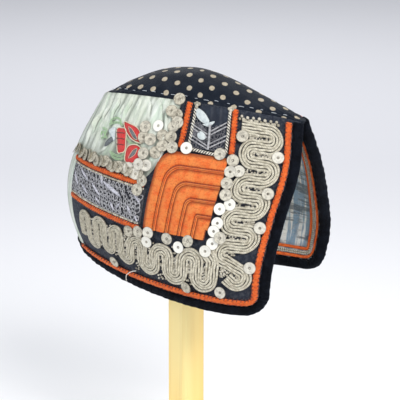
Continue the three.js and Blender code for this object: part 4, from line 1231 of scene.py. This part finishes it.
for label, side in SIDES.items():
    silk = new_piece(f"silk_field_{label}", [cloth(side, *silk_sheet())], pale_silk,
                     [f"silk_square_{label}"], sharp=60)
    new_piece(f"flower_pod_red_{label}", [padded_leaf(side, POD, 1.8, 4.4)], red_silk,
              [f"flower_pod_{label}"])
    petals = [padded_leaf(side, petal, 1.8, 3.7) for petal in (UPPER_PETAL, LOWER_PETAL)]
    new_piece(f"flower_petals_red_{label}", petals, red_silk,
              [f"flower_petal_upper_{label}", f"flower_petal_lower_{label}"])
    leaves = [padded_leaf(side, *leaf)
              for leaf in ((UPPER_SLOT, 2.8, 4.3), (LOWER_SLOT, 2.8, 4.3), (SIDE_LEAF, 1.8, 3.4))]
    new_piece(f"flower_leaves_{label}", leaves, grey_thread)
    new_piece(f"flower_pale_petal_{label}", [padded_leaf(side, PALE_PETAL, 1.8, 3.2)], pale_leaf)
    outlines = [cord_on(side, curve_through(line, steps, closed=True), radius, low, seed=k)
                for lines, steps, radius, low in (((POD, UPPER_PETAL, LOWER_PETAL), 8, 0.4, 2.5),
                                                  ((UPPER_SLOT, LOWER_SLOT), 6, 0.16, 3.6))
                for k, line in enumerate(lines)]
    new_piece(f"flower_outlines_{label}", outlines, cream_thread)
    ribs = [line_places((135.1 + 0.07 * (h - 112), h), (142 + 0.15 * (h - 112), h - 0.4), 0.8)
            for h in (113.4, 117.4, 121.4)]
    new_piece(f"flower_ribs_{label}", [cord_on(side, rib, 0.3, 3.95) for rib in ribs],
              dark_thread)
    scrolls = [cord_on(side, offset(curve_through(scroll, 8), apart), 0.28, 2.3, seed=k)
               for k, scroll in enumerate(SCROLLS) for apart in (-0.45, 0.45)]
    new_piece(f"silk_scrolls_{label}", scrolls, green_thread)

# The sequins
# Stamped from thin white metal that has dulled, with one hole in the middle, each held by a knot of
# thread. They overlap like scales along the seams between the fields.
SEQUIN = {"radius": 4.6, "hole": 0.85, "thick": 0.4, "dish": 0.15}
SEQUIN_PLACES = [
    (94, 150), (95, 139), (99, 141), (97, 131), (94, 134), (119, 128), (109, 130), (120, 121), (114, 120),
    (105, 124), (98, 124), (118, 110), (109, 112), (104, 117), (96, 117), (128, 98), (114, 102), (120, 102),
    (121, 95), (114, 91), (116, 84), (85.5, 118), (60, 117), (45, 131), (50, 114), (50, 106), (44, 107),
    (18, 120), (50, 98), (48, 90), (43, 84), (49, 80), (19, 94), (48, 70), (49, 64), (43, 60), (48, 55),
    (52, 49), (17, 70), (17, 41), (101, 54), (101, 47), (119, 51), (110, 53), (84, 53), (74, 48), (67, 54),
    (65, 18), (37, 19), (137, 19),
]
BRIGHT = {(109, 130), (85.5, 118), (43, 84), (49, 80), (48, 70), (49, 64), (48, 55), (52, 49),
          (101, 47), (74, 48)}
CREAM = {(128, 98), (114, 102), (120, 102), (121, 95), (101, 54), (17, 41), (17, 70), (18, 120)}
SCALES = {"count": 20, "back": 206.0, "pitch": 4.6, "above": 6.6, "rise": 2.4, "numbered_from": 60}
SEQUIN_DULL, SEQUIN_SPOT = (0.56, 0.52, 0.41), (0.28, 0.25, 0.19)
# The first colour is the palest tone a sequin takes; the last darkens each rim as painted shadow, and the
# ring round the hole.
SEQUIN_PALE, SEQUIN_RIM_SHADOW_AND_HOLE = (0.95, 0.94, 0.87), (0.12, 0.10, 0.07)


def sequin_shape(sides=20):
    """A dished disc with a hole, as rings of a closed section: points across and their faces."""
    r, hole, thick, dish = (SEQUIN[key] for key in ("radius", "hole", "thick", "dish"))
    section = np.array([(hole, 0.0), (0.72 * r, 0.0), (r * 0.985, dish), (r, dish + thick * 0.5),
                        (r * 0.97, dish + thick), (0.72 * r, thick + 0.05), (hole * 1.35, thick),
                        (hole, thick * 0.8)])
    turn = np.arange(sides) * 2 * np.pi / sides
    points = np.stack([np.outer(section[:, 0], np.cos(turn)), np.outer(section[:, 0], np.sin(turn)),
                       np.outer(section[:, 1], np.ones(sides))], -1)
    first, last = np.arange(sides), np.arange(sides) + (len(section) - 1) * sides
    closing = np.stack([last, np.roll(last, -1), np.roll(first, -1), first], 1)
    faces = np.concatenate([grid_faces(len(section), sides, around=True), closing])
    return points.reshape(-1, 3), faces[:, ::-1]


SEQUIN_POINTS, SEQUIN_FACES = sequin_shape()


def sewn_on(side, x, y, rise, points, faces, tilt=(0.0, 0.0), shade=0.0):
    """A small rigid thing set on the form at a flat place, tilted back and up by two slopes."""
    middle = lay(side, x, y, rise)
    back = unit(lay(side, x + 0.5, y, rise) - lay(side, x - 0.5, y, rise))
    out = unit(lay(side, x, y, rise + 1.0) - middle)
    up = unit(np.cross(out, back)) * side
    out = unit(out + back * tilt[0] + up * tilt[1])
    back = unit(np.cross(up, out)) * side
    up = unit(np.cross(out, back)) * side
    place = middle + (points[:, :1] * back + points[:, 1:2] * up + points[:, 2:] * out) * MM
    turned = faces if side > 0 else flipped(faces)
    return place, turned, np.stack([points[:, 0], points[:, 1], np.full(len(points), shade)], -1)


def sequin_place(tree):
    """Where on its own sequin a point is, the sequin's shade, and a place for noise that differs on each."""
    x, y, tag = add(tree, "SeparateXYZ", {0: flat_place(tree)}).outputs
    number = scaled(tree, maths(tree, "FLOOR", tag), 7.0)
    own = add(tree, "CombineXYZ", {0: x, 1: y, 2: number}).outputs[0]
    level = add(tree, "CombineXYZ", {0: x, 1: y}).outputs[0]
    away = add(tree, "VectorMath", {0: level}, operation="LENGTH").outputs["Value"]
    return away, maths(tree, "FRACT", tag), own


def sequin_colour(tree):
    """Yellowed and spotted, dull to pale per sequin, with painted shadow at the rim and darker round the
    hole.
    """
    away, shade, own = sequin_place(tree)
    spots = ramp(tree, noise(tree, own, 0.45, 4.0, 0.65), 0.42, 0.62)
    dull = mixed(tree, spots, SEQUIN_DULL, SEQUIN_SPOT)
    body = mixed(tree, shade, dull, SEQUIN_PALE)
    # Painted shadow along each sequin's rim, and a darker ring round its hole.
    rim_shadow_and_hole = highest(tree, ramp(tree, away, 4.1, 4.6), ramp(tree, away, 1.3, 0.85))
    return mixed(tree, scaled(tree, rim_shadow_and_hole, 0.6), body, SEQUIN_RIM_SHADOW_AND_HOLE)


def sequin_polish(tree):
    return maths(tree, "MULTIPLY_ADD", noise(tree, sequin_place(tree)[2], 0.8), 0.3, 0.4)


def shade_range(spot):
    """How pale a sequin may be, from 0 to 1."""
    if spot in BRIGHT:
        return 0.7, 0.95
    if spot in CREAM:
        return 0.3, 0.5
    return (0.1, 0.4) if spot[0] < 65 else (0.02, 0.15)


sequin_metal = finish("sequin metal", sequin_colour, sequin_polish,
                      [(lambda t: noise(t, sequin_place(t)[2], 1.2, 3.0), 0.3)],
                      gloss=0.4)
for label, side in SIDES.items():
    rng = np.random.default_rng(29)
    discs, threads = [], []
    for k, (x, y) in enumerate(SEQUIN_PLACES):
        shade = rng.uniform(*shade_range((x, y)))
        rise = 2.6 + 0.5 * ((k * 7) % 3)
        tilt = rng.uniform(-0.14, 0.14, 2)
        discs.append(sewn_on(side, x, y, rise, SEQUIN_POINTS, [SEQUIN_FACES], tilt, k + shade))
        threads += beads(side, [(x + rng.uniform(-0.15, 0.15), y)], 0.55, rise, 0.6, seed=k)
    for k in range(SCALES["count"]):
        x = SCALES["back"] - k * SCALES["pitch"]
        y = cord_height("side_upper", x) + SCALES["above"] + 0.9 * math.sin(k * 1.7)
        if x > panel_back(y) + 6:
            continue
        number = SCALES["numbered_from"] + k
        tilt = (0.42 - 0.015 * k + 0.2 * math.sin(k * 4.1), 0.1 + 0.25 * math.sin(k * 2.3))
        discs.append(sewn_on(side, x, y, SCALES["rise"], SEQUIN_POINTS, [SEQUIN_FACES], tilt,
                             number + rng.uniform(0.0, 0.05)))
        threads += beads(side, [(x, y)], 0.6, SCALES["rise"], 0.7, seed=number)
    new_piece(f"sequins_{label}", discs, sequin_metal,
              [f"sequin_{k}_{label}" for k in range(1, 7)], sharp=40)
    new_piece(f"sequin_knots_{label}", threads, pale_knot)

# The knots in the braid
# Small knots of white and navy thread fill the slit inside every turn of the braid, and a row of
# larger ones closes the field under the crown.
LAST_GAP = np.array([(40.4, 37.5), (35.5, 40), (30.5, 35.8), (38, 27)])
HEM_GAP = {"knots": 14, "under": (22.5, 13.5), "over": (12.0, 19.5), "lowest": 16.5, "highest": 50.0}
KNOT_PITCH, DARK_SHARE = 1.1, 0.38


def braid_slits():
    """The two ends of the slit inside every turn of both braids."""
    top, pitch, inner, outer = (FRONT_BRAID[key] for key in ("top", "pitch", "inner", "outer"))
    slits = []
    for turn in range(FRONT_BRAID["turns"]):
        y = top - turn * pitch
        start, way = (outer, 1) if turn % 2 == 0 else (inner, -1)
        long = inner - outer + 4.5 if turn < FRONT_BRAID["turns"] - 1 else 6.0
        slits.append(((start - 0.6 * way, y), (start + way * long, y)))
    slits.append(((LAST_LOOP["x"] - 0.5, LAST_LOOP["y"] - 1), (31.5, 37.0)))
    legs = hem_braid_legs()
    ends = [y for _, y in HEM_TURNS[1:]] + [HEM_FINISH]
    for turn, (_, y) in enumerate(HEM_TURNS):
        x, way = (legs[turn] + legs[turn + 1]) / 2, 1 if turn % 2 == 0 else -1
        slits.append(((x, y - 0.6 * way), (x, ends[turn] + 3.0 * way)))
    return slits


def slit_knots(rng):
    """Two rows of knots along every slit, pale and dark in no order."""
    pale, dark = [], []
    for start, end in braid_slits():
        start, end = np.array(start, float), np.array(end, float)
        along = unit(end - start)
        across = np.array([-along[1], along[0]])
        for reach in np.arange(0, np.linalg.norm(end - start), KNOT_PITCH):
            for row in (-0.7, 0.7):
                step, aside = reach + rng.uniform(-0.2, 0.2), row + rng.uniform(-0.15, 0.15)
                spot = start + along * step + across * aside
                (dark if rng.uniform() < DARK_SHARE else pale).append(tuple(spot))
    return pale, dark


def gap_knots(rng):
    """Knots strewn between the hem braid's bows and in the last gap of the front braid."""
    legs, knots = hem_braid_legs(), []
    for turn, (x, y) in enumerate(HEM_TURNS[1:-1], 1):
        gap = (legs[turn + 1] - legs[turn]) / 2
        low, high = (y - v for v in HEM_GAP["under"]) if turn % 2 else (y + v for v in HEM_GAP["over"])
        ceiling = cord_height("side_lower", x) - 3.6 if x > 106 else HEM_GAP["highest"]
        low, high = max(low, HEM_GAP["lowest"]), min(high, ceiling)
        for _ in range(HEM_GAP["knots"] if high > low else 0):
            up = rng.uniform(0, 1)
            room = gap * 0.9 * (1 - up if turn % 2 else up) + 0.8
            knots.append((x + rng.uniform(-room, room), low + (high - low) * up))
    return knots + [tuple(shares @ LAST_GAP) for shares in rng.dirichlet((1, 1, 1, 1), 80)]


TOP_ROW = [(x + dx, 143.8 + 0.3 * math.sin(x) + dy) for x in np.arange(46.5, 17, -4.3)
           for dx, dy in ((0, 1.2), (-1.35, -0.8), (1.35, -0.8))]
for label, side in SIDES.items():
    rng = np.random.default_rng(5)
    pale_places, dark_places = slit_knots(rng)
    strewn = gap_knots(rng)
    pale = beads(side, pale_places + strewn[::2], 0.82, TRIM + BRAID_LIFT, 0.9, seed=1)
    dark = beads(side, dark_places + strewn[1::2], 0.7, TRIM, 0.9, seed=2)
    row = beads(side, TOP_ROW, 1.2, TRIM, 0.9, seed=3)
    new_piece(f"braid_knots_pale_{label}", pale, pale_knot)
    new_piece(f"braid_knots_dark_{label}", dark, dark_knot)
    new_piece(f"crown_row_knots_{label}", row, pale_knot)

# The tape inside
# A narrow tape of two orange braids with a black and white speckled cord between them, sewn to the
# lining just inside the binding.
TAPE = {"inset": 13.6, "top": 128.0, "short": 40.0, "braid_at": 3.4, "twist_at": 0.7}
TAPE_BRAID = np.array([(-1.25, -4.5), (1.25, -4.5), (1.15, -5.4), (0.0, -5.65), (-1.15, -5.4)])[::-1]
TAPE_GROUND = np.array([(-1.9, -4.5), (1.9, -4.5), (1.9, -4.95), (-1.9, -4.95)])[::-1]
for label, side in SIDES.items():
    tape = smoothed(edge_places(TAPE["inset"], TAPE["top"], half_round(TAPE["inset"]) - TAPE["short"]), 3)
    braids = [strip(side, offset(tape, reach), TAPE_BRAID, laid_flat=True)
              for reach in (-TAPE["braid_at"], TAPE["braid_at"])]
    new_piece(f"tape_braids_{label}", braids, orange_cotton, [f"lining_tape_{label}"])
    new_piece(f"tape_ground_{label}", [strip(side, tape, TAPE_GROUND, laid_flat=True)],
              checked_lining)
    twists = [cord_on(side, offset(tape, reach), 0.7, -6.2, seed=reach)
              for reach in (-TAPE["twist_at"], TAPE["twist_at"])]
    new_piece(f"tape_twist_{label}", twists, speckled_twist)

# The tacking
# Long running stitches of pale thread hold the crown's seam allowance down just above the seam, and
# a few ends of thread stand loose at the hem and inside.
loose_white = finish("loose white thread", (0.80, 0.78, 0.72), 0.6)
pale_thread = finish("pale thread", (0.46, 0.50, 0.55), 0.6, [(ply(1.5), 0.1)])
TACK = {"pitch": 0.0495, "half": 0.0105, "radius": 0.28, "out": 0.925, "points": 9, "sides": 6}
HEM_END = [(113, 19), (116.5, 17.6), (120.5, 15), (124.6, 11.4), (126.4, 8), (126.8, 5)]
INSIDE_ENDS = [[(27, 24), (31, 33), (29, 44), (36, 52)], [(24, 40), (30, 38), (37, 29)],
               [(33, 22), (30, 30), (25, 33)]]


def tack(side, k, middle):
    """One running stitch over the crown's seam allowance, sunk in at both ends."""
    points, sides = TACK["points"], TACK["sides"]
    spread = np.linspace(-TACK["half"], TACK["half"], points) * (0.8 + 0.3 * math.sin(k * 2.1))
    around = side * (middle + spread + 0.004 * math.sin(k * 1.3))
    out = np.full(points, TACK["out"] + 0.012 * math.sin(k * 1.9))
    line = on_crown_cloth(around, out, -0.15 + 0.42 * np.cos(np.linspace(-1.35, 1.35, points)) ** 0.6)
    up = crown_normal(around, out)
    across = np.cross(unit(np.gradient(line, axis=0)), up)[:, None]
    ring = np.radians(np.arange(sides) * 360.0 / sides)[:, None]
    tube = line[:, None] + TACK["radius"] * MM * (across * np.cos(ring) + up[:, None] * np.sin(ring))
    faces, turn = tube_faces(points, sides), np.arange(sides)[None, :] / sides
    flat = np.stack(np.broadcast_arrays(np.arange(points)[:, None] * 0.5, turn, float(k)), -1)
    return tube, flipped(faces) if side > 0 else faces, flat


for label, side in SIDES.items():
    tacks = [tack(side, k, middle) for k, middle in enumerate(np.arange(0.05, 0.97, TACK["pitch"]))]
    new_piece(f"crown_tacking_{label}", tacks, pale_thread)
    new_piece(f"loose_end_{label}", [strip(side, curve_through(HEM_END, 8), round_section(0.34, 3.2, 5))],
              loose_white)
    inside = [strip(side, curve_through(places, 8), round_section(0.18, -4.4, 5)) for places in INSIDE_ENDS]
    new_piece(f"loose_threads_inside_{label}", inside, pale_thread)

# The stand
# A square post of pale softwood with planed corners, glued into a plain turned base, with a turned
# knob on top that carries the crown from inside.
WOOD, WOOD_DEEP, WOOD_GRAIN = (1.0, 0.82, 0.37), (0.98, 0.72, 0.27), (0.66, 0.42, 0.14)


def along_grain(tree, stretch, detail=3.0, rough=0.55):
    """Noise drawn out up the post, over places in metres."""
    return noise(tree, stretched(tree, add(tree, "TexCoord").outputs["Object"], stretch), 1.0, detail, rough)


def pale_grain(tree):
    grain = along_grain(tree, (190.0, 190.0, 7.0), 5.0, 0.6)
    wide = along_grain(tree, (45.0, 45.0, 2.5), 2.0)
    base = mixed(tree, ramp(tree, wide, 0.35, 0.7), WOOD, WOOD_DEEP)
    return mixed(tree, scaled(tree, ramp(tree, grain, 0.5, 0.75), 0.2), base, WOOD_GRAIN)


pale_wood = finish("pale wood", pale_grain, 0.55, [(lambda t: along_grain(t, (250.0, 250.0, 9.0)), 0.12)])
for name in ("stand_base", "stand_post", "stand_top"):
    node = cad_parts[name]
    node.data.materials.clear()
    node.data.materials.append(pale_wood)

# The table, the light and the view
# A pale table top whose colour falls away into grey with distance, a painted fall-off of the light, a
# broad soft light from the upper left of the view, a weaker one from the right, and the angle that the
# hat is seen from.
AIM, BACK_AWAY = (0.0, 0.002, 0.225), 1.5
VIEW_FROM = (-0.8665, -0.4151, 0.2773)
FLOOR_REACH = 9.0
# The table fades from the near colour to the far one with distance: a painted fall-off of the light.
TABLE_NEAR, TABLE_FAR = (0.93, 0.935, 0.95), (0.66, 0.665, 0.70)


def painted_table_light(tree):
    place = add(tree, "TexCoord").outputs["Object"]
    away = add(tree, "VectorMath", {0: place}, operation="LENGTH").outputs["Value"]
    return mixed(tree, ramp(tree, away, 0.1, 0.95), TABLE_NEAR, TABLE_FAR)


table_mesh = bpy.data.meshes.new("table_top")
corners = [(-FLOOR_REACH, -FLOOR_REACH, 0), (FLOOR_REACH, -FLOOR_REACH, 0),
           (FLOOR_REACH, FLOOR_REACH, 0), (-FLOOR_REACH, FLOOR_REACH, 0)]
table_mesh.from_pydata(corners, [], [(0, 1, 2, 3)])
table_mesh.materials.append(finish("table top", painted_table_light, 0.9, gloss=0.1))
table_top = bpy.data.objects.new("table_top", table_mesh)
bpy.context.scene.collection.objects.link(table_top)


def soft_light(name, place, size, power, colour=(1, 1, 1)):
    lamp = bpy.data.lights.new(name, "AREA")
    lamp.size, lamp.energy, lamp.color = size, power, colour
    light = bpy.data.objects.new(name, lamp)
    light.location = place
    aim = Vector(AIM) - Vector(place)
    light.rotation_euler = aim.to_track_quat("-Z", "Y").to_euler()
    bpy.context.scene.collection.objects.link(light)


soft_light("sky_light", (-1.0, -1.5, 1.7), 1.1, 40, (1.0, 0.98, 0.96))
soft_light("side_light", (-1.2, 1.3, 1.0), 1.0, 10, (0.92, 0.96, 1.0))
soft_light("back_light", (1.4, 0.6, 1.3), 1.0, 12)
world = bpy.data.worlds.new("soft room")
world.use_nodes = True
world.node_tree.nodes["Background"].inputs["Color"].default_value = (0.86, 0.88, 0.92, 1)
world.node_tree.nodes["Background"].inputs["Strength"].default_value = 0.6
bpy.context.scene.world = world
bpy.context.scene.view_settings.view_transform = "Standard"

lens = bpy.data.cameras.new("view")
lens.lens, lens.sensor_width = 175.5, 36.0
lens.shift_x, lens.shift_y = 0.0345, -0.043
camera = bpy.data.objects.new("view", lens)
camera.location = Vector(AIM) + Vector(VIEW_FROM) * BACK_AWAY
camera.rotation_euler = Vector(VIEW_FROM).to_track_quat("Z", "Y").to_euler()
bpy.context.scene.collection.objects.link(camera)
bpy.context.scene.camera = camera
